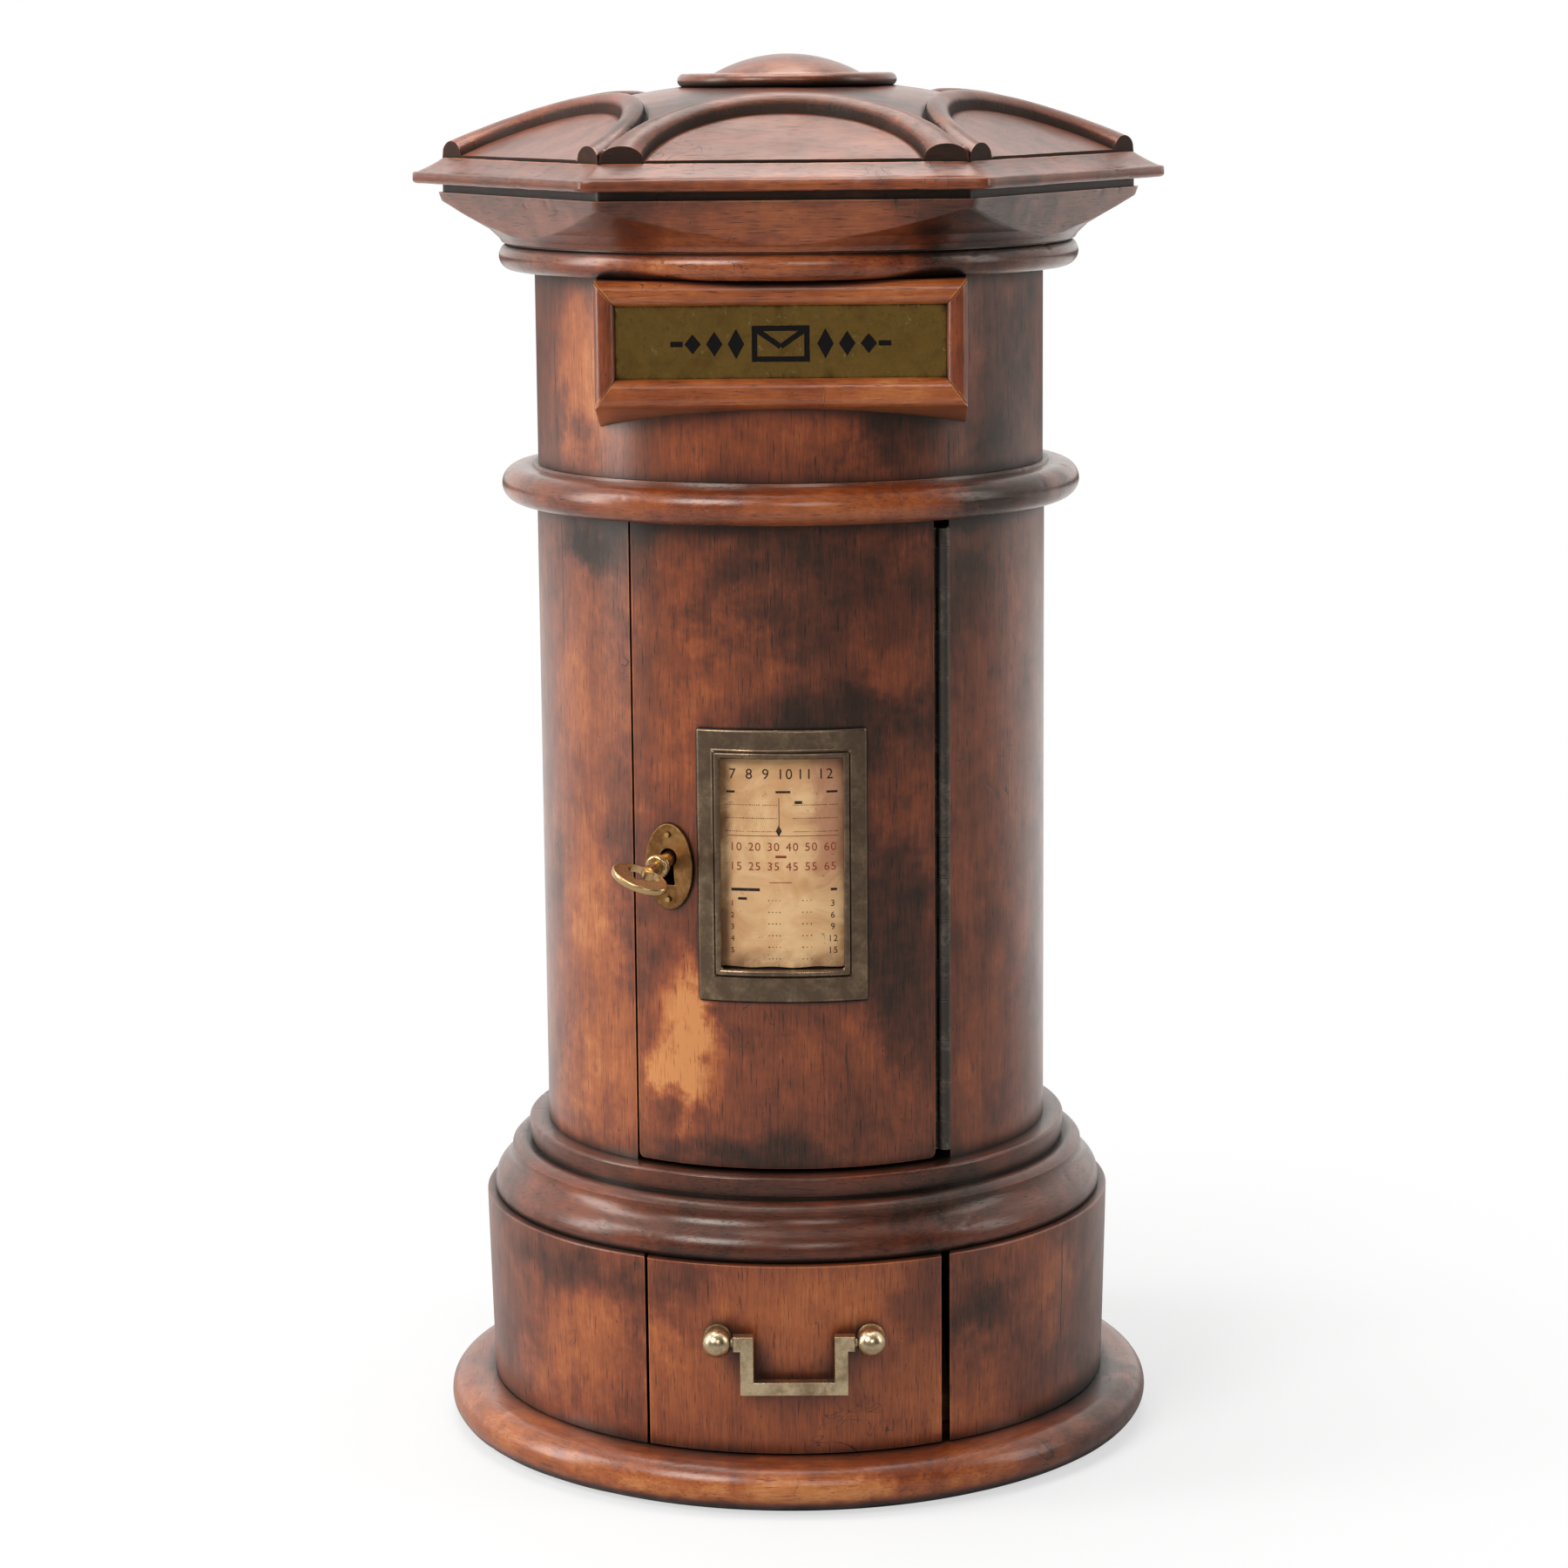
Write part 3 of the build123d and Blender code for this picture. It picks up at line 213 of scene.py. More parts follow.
DOT_ROWS = (
    (24, 3, 16.0, 8.4, 0.17, -9.6, 47.6),
    (21, 3, 13.4, 8.4, 0.17, 10.4, 47.6),
    (4, 6, 3.4, 18.6, 0.2, -2.6, 12.2),
    (3, 6, 2.6, 18.6, 0.2, 7.6, 12.2),
)
LOZENGE = (1.9, 3.6, -1.0, 43.6)
SIDE_ROWS = 5
SIDE_TOP = 20.4
SIDE_PITCH = 3.75
RIGHT_NUMBERS = (2.9, 15.6)
LEFT_NUMBERS = (2.5, -15.8)
RED_ROWS = ((38.4, 10), (32.2, 15))
RED_NUMBERS = 6
RED_NUMBER_SIZE = 3.7
RED_START = -14.6
RED_PITCH = 5.9

# Engraving of the flap
ENGRAVING_DEPTH = 0.45
ENGRAVING_FILL = 0.3
ENGRAVING_DROP = 1.1
ENGRAVING_REACH = 1.0
FLAP_SOFTENING = 0.12
ENVELOPE_WIDTH = 17.6
ENVELOPE_HEIGHT = 11.0
ENVELOPE_LINE = 1.65
ENVELOPE_POINT = -0.9
DIAMONDS = 3
DIAMOND_START = 13.6
DIAMOND_PITCH = 6.6
DIAMOND_REACH = 4.6
DIAMOND_TAPER = 0.8
DIAMOND_HALF_WIDTH = 2.5
DASH_ENDS = (29.8, 33.6)
DASH_HALF_HEIGHT = 0.8


def srgb(red, green, blue):
    """Linear colour of an 8-bit screen colour."""
    shares = (red / 255, green / 255, blue / 255)
    return tuple(((c + 0.055) / 1.055) ** 2.4 if c > 0.04 else c / 12.92 for c in shares) + (1.0,)


# ---------------------------------------------------------------- node trees as expressions
class Flow:
    """A socket whose arithmetic adds Math nodes to its tree."""

    def __init__(self, graph, socket):
        self.graph = graph
        self.socket = socket

    def __add__(self, other):
        return self.graph.maths("ADD", self, other)

    def __sub__(self, other):
        return self.graph.maths("SUBTRACT", self, other)

    def __rsub__(self, other):
        return self.graph.maths("SUBTRACT", other, self)

    def __mul__(self, other):
        return self.graph.maths("MULTIPLY", self, other)

    def __truediv__(self, other):
        return self.graph.maths("DIVIDE", self, other)

    __radd__ = __add__
    __rmul__ = __mul__


class Graph:
    """The nodes of one material or one geometry tree."""

    def __init__(self, tree):
        self.tree = tree

    def node(self, kind, settings=None, sockets=None, out=0):
        """Adds a node: its settings first, then the values or links of its sockets."""
        made = self.tree.nodes.new(kind)
        for name, value in (settings or {}).items():
            if name == "stops":
                self.set_stops(made.color_ramp, value)
            else:
                setattr(made, name, value)
        for name, value in (sockets or {}).items():
            if isinstance(value, Flow):
                self.tree.links.new(value.socket, made.inputs[name])
            else:
                made.inputs[name].default_value = value
        return Flow(self, made.outputs[out] if len(made.outputs) else None)

    @staticmethod
    def set_stops(ramp, stops):
        while len(ramp.elements) < len(stops):
            ramp.elements.new(1.0)
        for element, (place, colour) in zip(ramp.elements, stops):
            element.position = place
            element.color = colour

    def maths(self, operation, *values, clamp=False):
        settings = {"operation": operation, "use_clamp": clamp}
        return self.node("ShaderNodeMath", settings, dict(enumerate(values)))

    def vectors(self, operation, *values, out=0):
        return self.node("ShaderNodeVectorMath", {"operation": operation}, dict(enumerate(values)), out)

    def scaled(self, vector, factor):
        return self.node("ShaderNodeVectorMath", {"operation": "SCALE"}, {0: vector, 3: factor})

    def combined(self, x, y, z):
        return self.node("ShaderNodeCombineXYZ", None, {0: x, 1: y, 2: z})

    def parts(self, vector):
        made = self.node("ShaderNodeSeparateXYZ", None, {0: vector})
        outputs = made.socket.node.outputs
        return [Flow(self, outputs[index]) for index in range(3)]

    def mixed(self, factor, first, second, blend="MIX"):
        settings = {"data_type": "RGBA", "blend_type": blend}
        return self.node("ShaderNodeMix", settings, {0: factor, 6: first, 7: second}, 2)

    def step(self, value, low, high, to_low=0.0, to_high=1.0):
        """Smooth step of a value between two limits."""
        sockets = {"Value": value, "From Min": low, "From Max": high, "To Min": to_low, "To Max": to_high}
        return self.node("ShaderNodeMapRange", {"interpolation_type": "SMOOTHSTEP"}, sockets)

    def noise(self, vector, scale, detail=2.0, roughness=0.5, distortion=0.0):
        """Cloudy noise about one half, with its scale in turns for each unit of the vector."""
        sockets = {"Vector": vector, "Scale": scale, "Detail": detail}
        sockets.update({"Roughness": roughness, "Distortion": distortion})
        return self.node("ShaderNodeTexNoise", None, sockets)

    def ramp(self, value, stops):
        return self.node("ShaderNodeValToRGB", {"stops": stops}, {0: value})


def new_material(name):
    """An empty material and its graph."""
    material = bpy.data.materials.new(name)
    material.use_nodes = True
    material.node_tree.nodes.clear()
    return material, Graph(material.node_tree)


def millimetres(graph):
    """Places on the piece, in millimetres."""
    return graph.scaled(graph.node("ShaderNodeTexCoord", out=3), 1 / MM)


def azimuth_at(graph, x, y):
    """Angle about the axis, in radians, 0 at the front."""
    return graph.maths("ARCTAN2", x, 0 - y)


def close_material(graph, sockets):
    """Ends a material in a Principled shader."""
    shader = graph.node("ShaderNodeBsdfPrincipled", None, sockets)
    graph.node("ShaderNodeOutputMaterial", None, {"Surface": shader})


def hollow_and_edge(graph, reach, edge_width):
    """How far a spot lies in a hollow, and how far it lies on a proud edge."""
    open_air = graph.node("ShaderNodeAmbientOcclusion", {"samples": 8}, {"Distance": reach}, 1)
    rounded = graph.node("ShaderNodeBevel", {"samples": 6}, {"Radius": edge_width})
    flat = graph.node("ShaderNodeNewGeometry", None, None, 1)
    turn = 1 - graph.vectors("DOT_PRODUCT", rounded, flat, out=1)
    hollow = 1 - open_air
    return hollow, graph.step(turn, 0.015, 0.22) * graph.step(open_air, 0.45, 0.8)


# ---------------------------------------------------------------- wood
WOOD_STOPS = (
    (0.0, srgb(20, 13, 11)),
    (0.2, srgb(47, 26, 19)),
    (0.42, srgb(92, 42, 24)),
    (0.6, srgb(131, 62, 30)),
    (0.78, srgb(170, 92, 44)),
    (1.0, srgb(212, 142, 82)),
)
# Lighter (+) and darker (-) patches of the upright pieces, some of them painted highlight and shade: azimuth,
# height, half width, half height, amount
BODY_PATCHES = (
    (-51, 150, 17, 62, 0.25),
    (-53, 236, 15, 60, 0.16),
    (-24, 146, 9, 26, 0.54),
    (-12, 128, 30, 16, 0.1),
    (9, 142, 16, 12, 0.12),
    (-24, 240, 12, 30, 0.12),
    (-20, 284, 14, 20, 0.06),
    (8, 290, 34, 24, -0.24),
    (10, 243, 26, 16, -0.3),
    (22, 190, 11, 34, -0.26),
    (26, 150, 9, 22, -0.12),
    (26, 122, 8, 12, 0.06),
    (-9, 108, 26, 6, -0.2),
    (46, 290, 12, 26, -0.2),
    (60, 190, 12, 90, 0.08),
    (47, 133, 8, 18, 0.12),
    (-47, 301, 16, 10, -0.36),
    (-50, 352, 14, 32, 0.3),
    (-12, 334, 22, 9, 0.1),
    (24, 336, 16, 12, -0.3),
    (56, 350, 14, 34, -0.22),
    # The last two patches lie on the waist ring: a painted highlight on its front and painted shade on its
    # right side.
    (0, 313, 34, 7, 0.14),
    (52, 313, 22, 9, -0.3),
)
BASE_PATCHES = (
    (-46, 68, 20, 7, -0.2),
    (-40, 42, 20, 22, 0.2),
    (0, 62, 13, 12, 0.12),
    (-21, 70, 6, 14, -0.18),
    (22, 66, 6, 14, -0.18),
    (2, 24, 24, 8, -0.02),
    (36, 58, 9, 9, -0.26),
    (47, 34, 9, 12, -0.04),
    (34, 30, 9, 18, 0.16),
    (54, 56, 8, 16, 0.16),
    (-56, 10, 26, 10, 0.24),
    (-2, 8, 34, 7, 0.3),
    (68, 12, 20, 12, -0.3),
    (28, 92, 20, 8, -0.16),
    (-50, 90, 14, 10, 0.14),
)
HEAD_PATCHES = (
    (0, 400, 24, 11, 0.2),
    (-34, 402, 10, 8, -0.12),
    # Painted shade on the cornice's right facet.
    (40, 400, 18, 12, -0.3),
    # A painted highlight on the neck bead's front, and painted shade on its right side.
    (-12, 387, 30, 6, 0.2),
    (40, 387, 20, 6, -0.16),
    # A painted sheen on the front of the eave's slope.
    (0, 412, 40, 4, 0.1),
)
ROOF_PATCHES = (
    # Painted shadow: a dark band round the roof's foot, where it meets the eave.
    (0, 416.2, 900, 2.0, -0.5),
    (30, 436, 16, 10, -0.16),
    (-30, 436, 16, 10, -0.2),
    (0, 446, 60, 3.5, 0.16),
)
# Fine cracks: azimuth, lowest and highest point
CRACKS = ((37.4, 321, 333), (56.5, 38, 76), (-61.0, 262, 306), (52.0, 372, 382), (-64.0, 344, 362))


def grain_direction(graph, mm, grain):
    """Coordinates that run slowly along the grain. Segmented rings turn their grain with each segment."""
    x, y, z = graph.parts(mm)
    if grain == "upright":
        return graph.combined(x, y, z / 17)
    if grain == "across":
        return graph.combined(x / 15, y, z)
    segments = {"ring": 8, "hexagon": 6}[grain]
    angle = azimuth_at(graph, x, y)
    share = angle * (segments / math.tau)
    index = graph.maths("ROUND", share)
    local = (share - index) * (math.tau / segments)
    radius = graph.maths("SQRT", x * x + y * y)
    along = radius * graph.maths("SINE", local) / 15 + index * 37.0
    return graph.combined(along, radius * graph.maths("COSINE", local), z)


def patches_on(graph, mm, patches):
    """Sum of the lighter and darker patches, in azimuth and height, among them painted highlights and painted
    shade.
    """
    x, y, z = graph.parts(mm)
    angle = azimuth_at(graph, x, y) * (180 / math.pi)
    uneven = (graph.noise(mm, 0.055, 4.0, 0.65) - 0.5) * 2.6
    ragged = graph.combined(uneven, uneven, 0.0)
    spot = graph.combined(angle, z, 0.0)
    total = None
    for azimuth, height, half_width, half_height, amount in patches:
        away = graph.vectors("SUBTRACT", spot, (azimuth, height, 0.0))
        away = graph.vectors("DIVIDE", away, (half_width, half_height, 1.0))
        away = graph.vectors("ADD", away, ragged)
        patch = graph.step(graph.vectors("LENGTH", away, out=1), 1.35, 0.25) * amount
        total = patch if total is None else total + patch
    return total


def cracks_on(graph, mm):
    """Narrow upright cracks, 1 in the crack."""
    x, y, z = graph.parts(mm)
    angle = azimuth_at(graph, x, y) * (180 / math.pi)
    wander = (graph.noise(graph.combined(0.0, 0.0, z), 0.12, 3.0) - 0.5) * 1.2
    total = None
    for azimuth, low, high in CRACKS:
        aside = graph.maths("ABSOLUTE", angle - azimuth + wander)
        along = graph.step(z, low - 2, low + 3) * graph.step(z, high + 2, high - 3)
        line = graph.step(aside, 0.22, 0.06) * along
        total = line if total is None else total + line
    return total


def mahogany(name, grain, tone=0.0, patches=(), gloss=0.0, cracked=False, contrast=1.0, steep_walls_shaded_and_matt=False):
    """Old waxed mahogany: red-brown, dark in its hollows from patina and painted shade, amber where hands
    have rubbed it, with painted highlight and shade in some of its patches.
    """
    material, graph = new_material(name)
    mm = millimetres(graph)
    along = grain_direction(graph, mm, grain)
    cloud = graph.noise(mm, 0.022, 4.0, 0.62, 0.6)
    mottle = graph.noise(mm, 0.085, 4.0, 0.68)
    figure = graph.noise(along, 0.16, 4.0, 0.6, 0.7)
    fibre = graph.noise(along, 1.5, 3.0, 0.7)
    pore = graph.step(graph.noise(along, 2.4, 2.0, 0.5), 0.4, 0.3)
    speck = graph.step(graph.noise(mm, 0.9, 1.0, 0.4), 0.25, 0.19)
    hollow, edge = hollow_and_edge(graph, 0.009, 0.0011)
    # Darker in hollows and between parts, from the occlusion: partly wax and dirt, partly painted shade.
    grime_and_shade = graph.step(hollow + (mottle - 0.5) * 0.3, 0.16, 0.62)
    # Place on the colour ramp: tone, figure and patches, with painted highlight and shade among them.
    wear_and_painted_light = 0.47 + tone + (cloud - 0.5) * (0.54 * contrast) + (mottle - 0.5) * (0.42 * contrast)
    wear_and_painted_light = wear_and_painted_light + (figure - 0.5) * 0.24 + (fibre - 0.5) * 0.34
    if patches:
        wear_and_painted_light = wear_and_painted_light + patches_on(graph, mm, patches)
    # Steep walls of the carving get painted shade in their colour, and a rougher, thinner coat.
    if steep_walls_shaded_and_matt:
        facing = graph.node("ShaderNodeNewGeometry", None, None, 1)
        steep = graph.step(graph.parts(facing)[2], 0.66, 0.3)
        # Painted shade: the steeper the wall, the darker.
        wear_and_painted_light = wear_and_painted_light - steep * 0.34
    # Lighter on proud edges and creases: rubbed wear, and a painted highlight along the creases.
    wear_and_painted_light = wear_and_painted_light + edge * 0.3 - grime_and_shade * 0.5 - pore * 0.24 - speck * 0.26
    colour = graph.ramp(graph.maths("ADD", wear_and_painted_light, 0.0, clamp=True), WOOD_STOPS)
    height = (fibre - 0.5) * 0.35 - pore * 0.5 - speck * 0.8 + (mottle - 0.5) * 0.6
    wisp = graph.maths("ABSOLUTE", graph.noise(mm, 0.05, 2.0, 0.5, 1.6) - 0.5)
    scar = graph.step(wisp, 0.006, 0.001) * graph.step(graph.noise(mm, 0.028, 1.0), 0.62, 0.7)
    colour = graph.mixed(scar * 0.85, colour, srgb(22, 13, 11))
    height = height - scar * 1.6
    if cracked:
        crack = cracks_on(graph, mm)
        colour = graph.mixed(crack, colour, srgb(14, 9, 8))
        height = height - crack * 3.0
    scratch_field = graph.vectors("MULTIPLY", mm, (1.0, 1.0, 0.06))
    scratch = graph.step(graph.noise(scratch_field, 0.5, 3.0, 0.65, 2.0), 0.70, 0.76)
    roughness = 0.40 - gloss + (cloud - 0.5) * 0.2 + grime_and_shade * 0.16 + (fibre - 0.5) * 0.12 + scratch * 0.08
    coat = graph.step(wear_and_painted_light, 0.05, 0.7, 0.3, 0.9)
    if steep_walls_shaded_and_matt:
        roughness = roughness + steep * 0.4
        coat = coat * (1 - steep * 0.9)
    bump = graph.node("ShaderNodeBump", None, {"Strength": 0.55, "Distance": 0.00016, "Height": height})
    close_material(graph, {
        "Base Color": colour,
        "Roughness": graph.maths("MAXIMUM", roughness, 0.18),
        "Normal": bump,
        "Coat Weight": coat,
        "Coat Roughness": 0.26,
        "Coat Tint": (1.0, 0.94, 0.87, 1.0),
        "Specular IOR Level": 0.42,
        "Specular Tint": (1.0, 0.84, 0.7, 1.0),
    })
    return material


def plain_wood(name, pale, dark, grain):
    """Unpolished secondary wood of the drawer's inside."""
    material, graph = new_material(name)
    mm = millimetres(graph)
    along = grain_direction(graph, mm, grain)
    figure = graph.noise(along, 0.22, 4.0, 0.6, 1.2)
    fibre = graph.noise(along, 1.8, 3.0, 0.7)
    stain = graph.noise(mm, 0.03, 4.0, 0.6)
    hollow, edge = hollow_and_edge(graph, 0.010, 0.0008)
    # Darker in hollows from the occlusion, partly dirt and partly painted shade; lighter on edges.
    share = figure * 0.6 + fibre * 0.4 + (stain - 0.5) * 0.6 + hollow * 0.5 - edge * 0.2
    colour = graph.mixed(graph.step(share, 0.25, 0.95), pale, dark)
    bump = graph.node("ShaderNodeBump", None, {"Strength": 0.5, "Distance": 0.00014, "Height": fibre})
    close_material(graph, {
        "Base Color": colour,
        "Roughness": 0.62 + (fibre - 0.5) * 0.2,
        "Normal": bump,
    })
    return material


# ---------------------------------------------------------------- metals, card, felt and ink
def old_metal(name, clean, dull, dark, roughness, tarnish=0.5, speckle=0.0, pale=(0.4, 0.4, 0.3, 1.0)):
    """Handled metal: clean on its edges, dull on its faces and dark in its hollows."""
    material, graph = new_material(name)
    mm = millimetres(graph)
    cloud = graph.noise(mm, 0.11, 4.0, 0.62, 0.5)
    grain = graph.noise(mm, 0.7, 3.0, 0.6)
    fine = graph.noise(graph.vectors("MULTIPLY", mm, (1.0, 1.0, 6.0)), 1.1, 2.0, 0.6)
    hollow, edge = hollow_and_edge(graph, 0.004, 0.0007)
    film = graph.step(cloud + (grain - 0.5) * 0.35 + (tarnish - 0.5), 0.3, 0.72)
    colour = graph.mixed(film, clean, dull)
    # Dark in hollows from the occlusion: partly tarnish and dirt, partly painted shade.
    grime_and_shade = graph.step(hollow + (grain - 0.5) * 0.3 + film * 0.12, 0.2, 0.72)
    colour = graph.mixed(grime_and_shade, colour, dark)
    colour = graph.mixed(edge * 0.75, colour, clean)
    if speckle:
        fleck = graph.step(graph.noise(mm, 0.4, 3.0, 0.7, 0.6), 0.64, 0.7) * speckle
        colour = graph.mixed(fleck, colour, pale)
    rough = roughness + film * 0.12 + grime_and_shade * 0.2 - edge * 0.08 + (grain - 0.5) * 0.16 + (fine - 0.5) * 0.08
    height = (grain - 0.5) * 0.5 + (cloud - 0.5) * 0.6 + (fine - 0.5) * 0.15
    bump = graph.node("ShaderNodeBump", None, {"Strength": 0.35, "Distance": 0.00016, "Height": height})
    close_material(graph, {
        "Base Color": colour,
        "Metallic": graph.step(grime_and_shade, 1.6, 0.2, 0.55, 1.0),
        "Roughness": graph.maths("MAXIMUM", rough, 0.12),
        "Normal": bump,
    })
    return material


def old_card(name):
    """Yellowed card with damp stains, a pink tint on its right and foxing."""
    material, graph = new_material(name)
    mm = millimetres(graph)
    x, y, z = graph.parts(mm)
    cloud = graph.noise(mm, 0.07, 5.0, 0.62, 0.8)
    fibre = graph.noise(mm, 1.4, 4.0, 0.75)
    colour = graph.mixed(graph.step(cloud, 0.32, 0.68), srgb(240, 196, 142), srgb(214, 158, 104))
    pink = graph.step(x + (cloud - 0.5) * 16, 4.0, 11.0) * graph.step(z + (cloud - 0.5) * 30, 186.0, 212.0)
    colour = graph.mixed(pink * 0.6, colour, srgb(170, 104, 84))
    rim = graph.maths("MAXIMUM", graph.step(x, -17.2, -20.5), graph.step(z, 176.0, 169.0))
    rim = graph.maths("MAXIMUM", rim, graph.step(x, 13.2, 16.8) * 0.7)
    colour = graph.mixed(rim * graph.step(cloud + fibre * 0.3, 0.4, 0.85) * 0.8, colour, srgb(112, 66, 40))
    foxing = graph.step(graph.noise(mm, 0.42, 2.0, 0.6), 0.68, 0.76)
    colour = graph.mixed(foxing * 0.55, colour, srgb(120, 74, 44))
    colour = graph.mixed((fibre - 0.3) * 0.25, colour, srgb(244, 214, 170))
    bump = graph.node("ShaderNodeBump", None, {"Strength": 0.4, "Distance": 0.00008, "Height": fibre})
    close_material(graph, {"Base Color": colour, "Roughness": 0.62 + (fibre - 0.5) * 0.2, "Normal": bump})
    return material


def printing_ink(name, strong, faded, roughness=0.6):
    """Old ink or wax that has worn thin in places."""
    material, graph = new_material(name)
    mm = millimetres(graph)
    worn = graph.step(graph.noise(mm, 0.8, 3.0, 0.7), 0.52, 0.76)
    close_material(graph, {
        "Base Color": graph.mixed(worn, strong, faded),
        "Roughness": roughness + worn * 0.1,
        "Specular IOR Level": 0.2,
    })
    return material


def woollen_felt(name):
    """Dense dark green felt with a faint nap."""
    material, graph = new_material(name)
    mm = millimetres(graph)
    nap = graph.noise(mm, 2.2, 5.0, 0.8)
    cloud = graph.noise(mm, 0.06, 3.0)
    colour = graph.mixed(graph.step(nap * 0.7 + cloud * 0.3, 0.3, 0.7), srgb(24, 34, 27), srgb(52, 68, 54))
    bump = graph.node("ShaderNodeBump", None, {"Strength": 0.8, "Distance": 0.0004, "Height": nap})
    close_material(graph, {
        "Base Color": colour,
        "Roughness": 0.9 + (nap - 0.5) * 0.1,
        "Normal": bump,
        "Sheen Weight": 0.3,
    })
    return material


wood_body = mahogany("mahogany_body", "upright", 0.03, BODY_PATCHES, cracked=True)
wood_plinth = mahogany("mahogany_plinth", "upright", 0.02, BASE_PATCHES, cracked=True)
wood_drawer = mahogany("mahogany_drawer", "upright", 0.17, BASE_PATCHES, contrast=0.6)
wood_foot = mahogany("mahogany_foot", "ring", 0.1, BASE_PATCHES, 0.05)
wood_moulding = mahogany("mahogany_moulding", "ring", -0.08, BASE_PATCHES, 0.1, contrast=0.8)
# The ring takes the last two body patches, its painted highlight and shade.
wood_ring = mahogany("mahogany_ring", "ring", 0.05, BODY_PATCHES[-2:] + HEAD_PATCHES, 0.12)
wood_head = mahogany("mahogany_head", "hexagon", 0.02, HEAD_PATCHES, 0.04, contrast=0.8)
wood_roof = mahogany("mahogany_roof", "across", 0.05, ROOF_PATCHES, 0.03, contrast=0.8, steep_walls_shaded_and_matt=True)
wood_crown = mahogany("mahogany_crown", "across", 0.05, ROOF_PATCHES, 0.03, contrast=0.8)
wood_slot = mahogany("mahogany_slot", "across", 0.27, (), 0.08)
wood_slot_side = mahogany("mahogany_slot_side", "upright", 0.1, (), 0.06)
wood_inside = mahogany("mahogany_inside", "upright", -0.12, (), -0.12, contrast=0.6)
secondary_wood = plain_wood("drawer_wood", srgb(176, 128, 84), srgb(112, 70, 42), "across")
felt = woollen_felt("felt")
flap_brass = old_metal(
    "flap_brass", srgb(156, 122, 64), srgb(112, 86, 43), srgb(44, 32, 17), 0.3, 0.46, 0.7, srgb(176, 160, 108)
)
escutcheon_brass = old_metal(
    "escutcheon_brass", srgb(184, 138, 86), srgb(124, 84, 48), srgb(36, 24, 14), 0.34, 0.56
)
bronzed_brass = old_metal(
    "bronzed_brass", srgb(156, 132, 106), srgb(114, 95, 78), srgb(32, 26, 22), 0.24, 0.6
)
key_brass = old_metal("key_brass", srgb(206, 172, 122), srgb(158, 124, 80), srgb(52, 38, 22), 0.24, 0.4)
pull_brass = old_metal("pull_brass", srgb(222, 198, 160), srgb(160, 136, 104), srgb(54, 43, 32), 0.26, 0.46)
pin_brass = old_metal("pin_brass", srgb(206, 166, 104), srgb(160, 118, 66), srgb(52, 36, 18), 0.3, 0.3)
hinge_bronze = old_metal("hinge_bronze", srgb(136, 124, 112), srgb(84, 78, 72), srgb(22, 20, 18), 0.36, 0.66)
lock_steel = old_metal("lock_steel", srgb(170, 168, 162), srgb(112, 106, 98), srgb(44, 38, 34), 0.34, 0.45)
card_paper = old_card("card_paper")
black_ink = printing_ink("black_ink", srgb(52, 38, 32), srgb(112, 82, 60))
red_ink = printing_ink("red_ink", srgb(150, 62, 48), srgb(178, 106, 78))
black_wax = printing_ink("black_wax", srgb(14, 12, 11), srgb(26, 22, 19), 0.85)


# ---------------------------------------------------------------- finishing a piece
def smooth_by_angle(mesh, degrees):
    mesh.shade_smooth()
    mesh.set_sharp_from_angle(angle=math.radians(degrees))


def mount(piece, material, body, replaced=()):
    """Gives a finished piece its material and its body, and hides the CAD nodes that it stands for."""
    piece.data.materials.clear()
    piece.data.materials.append(material)
    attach(piece, body)
    if replaced:
        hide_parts(*replaced)
    return piece


def mount_for(piece, material, *replaced):
    """Mounts a piece in the place of one or more CAD nodes of one body."""
    first = replaced[0]
    return mount(piece, material, NODES[first]["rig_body"], replaced)


def mesh_of(name, points, faces=(), edges=()):
    mesh = bpy.data.meshes.new(name)
    mesh.from_pydata(points, edges, faces)
    return mesh


def link(name, mesh):
    piece = bpy.data.objects.new(name, mesh)
    bpy.context.scene.collection.objects.link(piece)
    return piece


def baked(piece, name=None):
    """Turns an object with its modifiers into a plain mesh of the same name."""
    graph = bpy.context.evaluated_depsgraph_get()
    mesh = bpy.data.meshes.new_from_object(piece.evaluated_get(graph))
    label = name or piece.name
    bpy.data.objects.remove(piece)
    mesh.name = label
    return link(label, mesh)


def loose(piece):
    """The finished mesh of an object, which is then removed."""
    piece = baked(piece)
    mesh = piece.data
    bpy.data.objects.remove(piece)
    return mesh


def merged_copy(node):
    """A closed, merged copy of a CAD node's mesh, with flat faces joined."""
    mesh = NODES[node].data.copy()
    if "custom_normal" in mesh.attributes:
        mesh.attributes.remove(mesh.attributes["custom_normal"])
    shape = bmesh.new()
    shape.from_mesh(mesh)
    bmesh.ops.remove_doubles(shape, verts=shape.verts, dist=2e-6)
    bmesh.ops.dissolve_limit(shape, angle_limit=math.radians(0.5), verts=shape.verts, edges=shape.edges)
    shape.to_mesh(mesh)
    shape.free()
    return mesh


def dressed(node, material, width=0.35, segments=2, sharp=32, free=False):
    """A copy of a CAD node with softened edges, of a width in millimetres, which takes its place."""
    piece = link(node + "_dressed", merged_copy(node))
    if width:
        bevel = piece.modifiers.new("softened", "BEVEL")
        bevel.width = width * MM
        bevel.segments = segments
        bevel.limit_method = "ANGLE"
        bevel.angle_limit = math.radians(sharp)
        bevel.use_clamp_overlap = not free
        weighted = piece.modifiers.new("weighted", "WEIGHTED_NORMAL")
        weighted.keep_sharp = True
    smooth_by_angle(piece.data, 50)
    return mount_for(baked(piece), material, node)


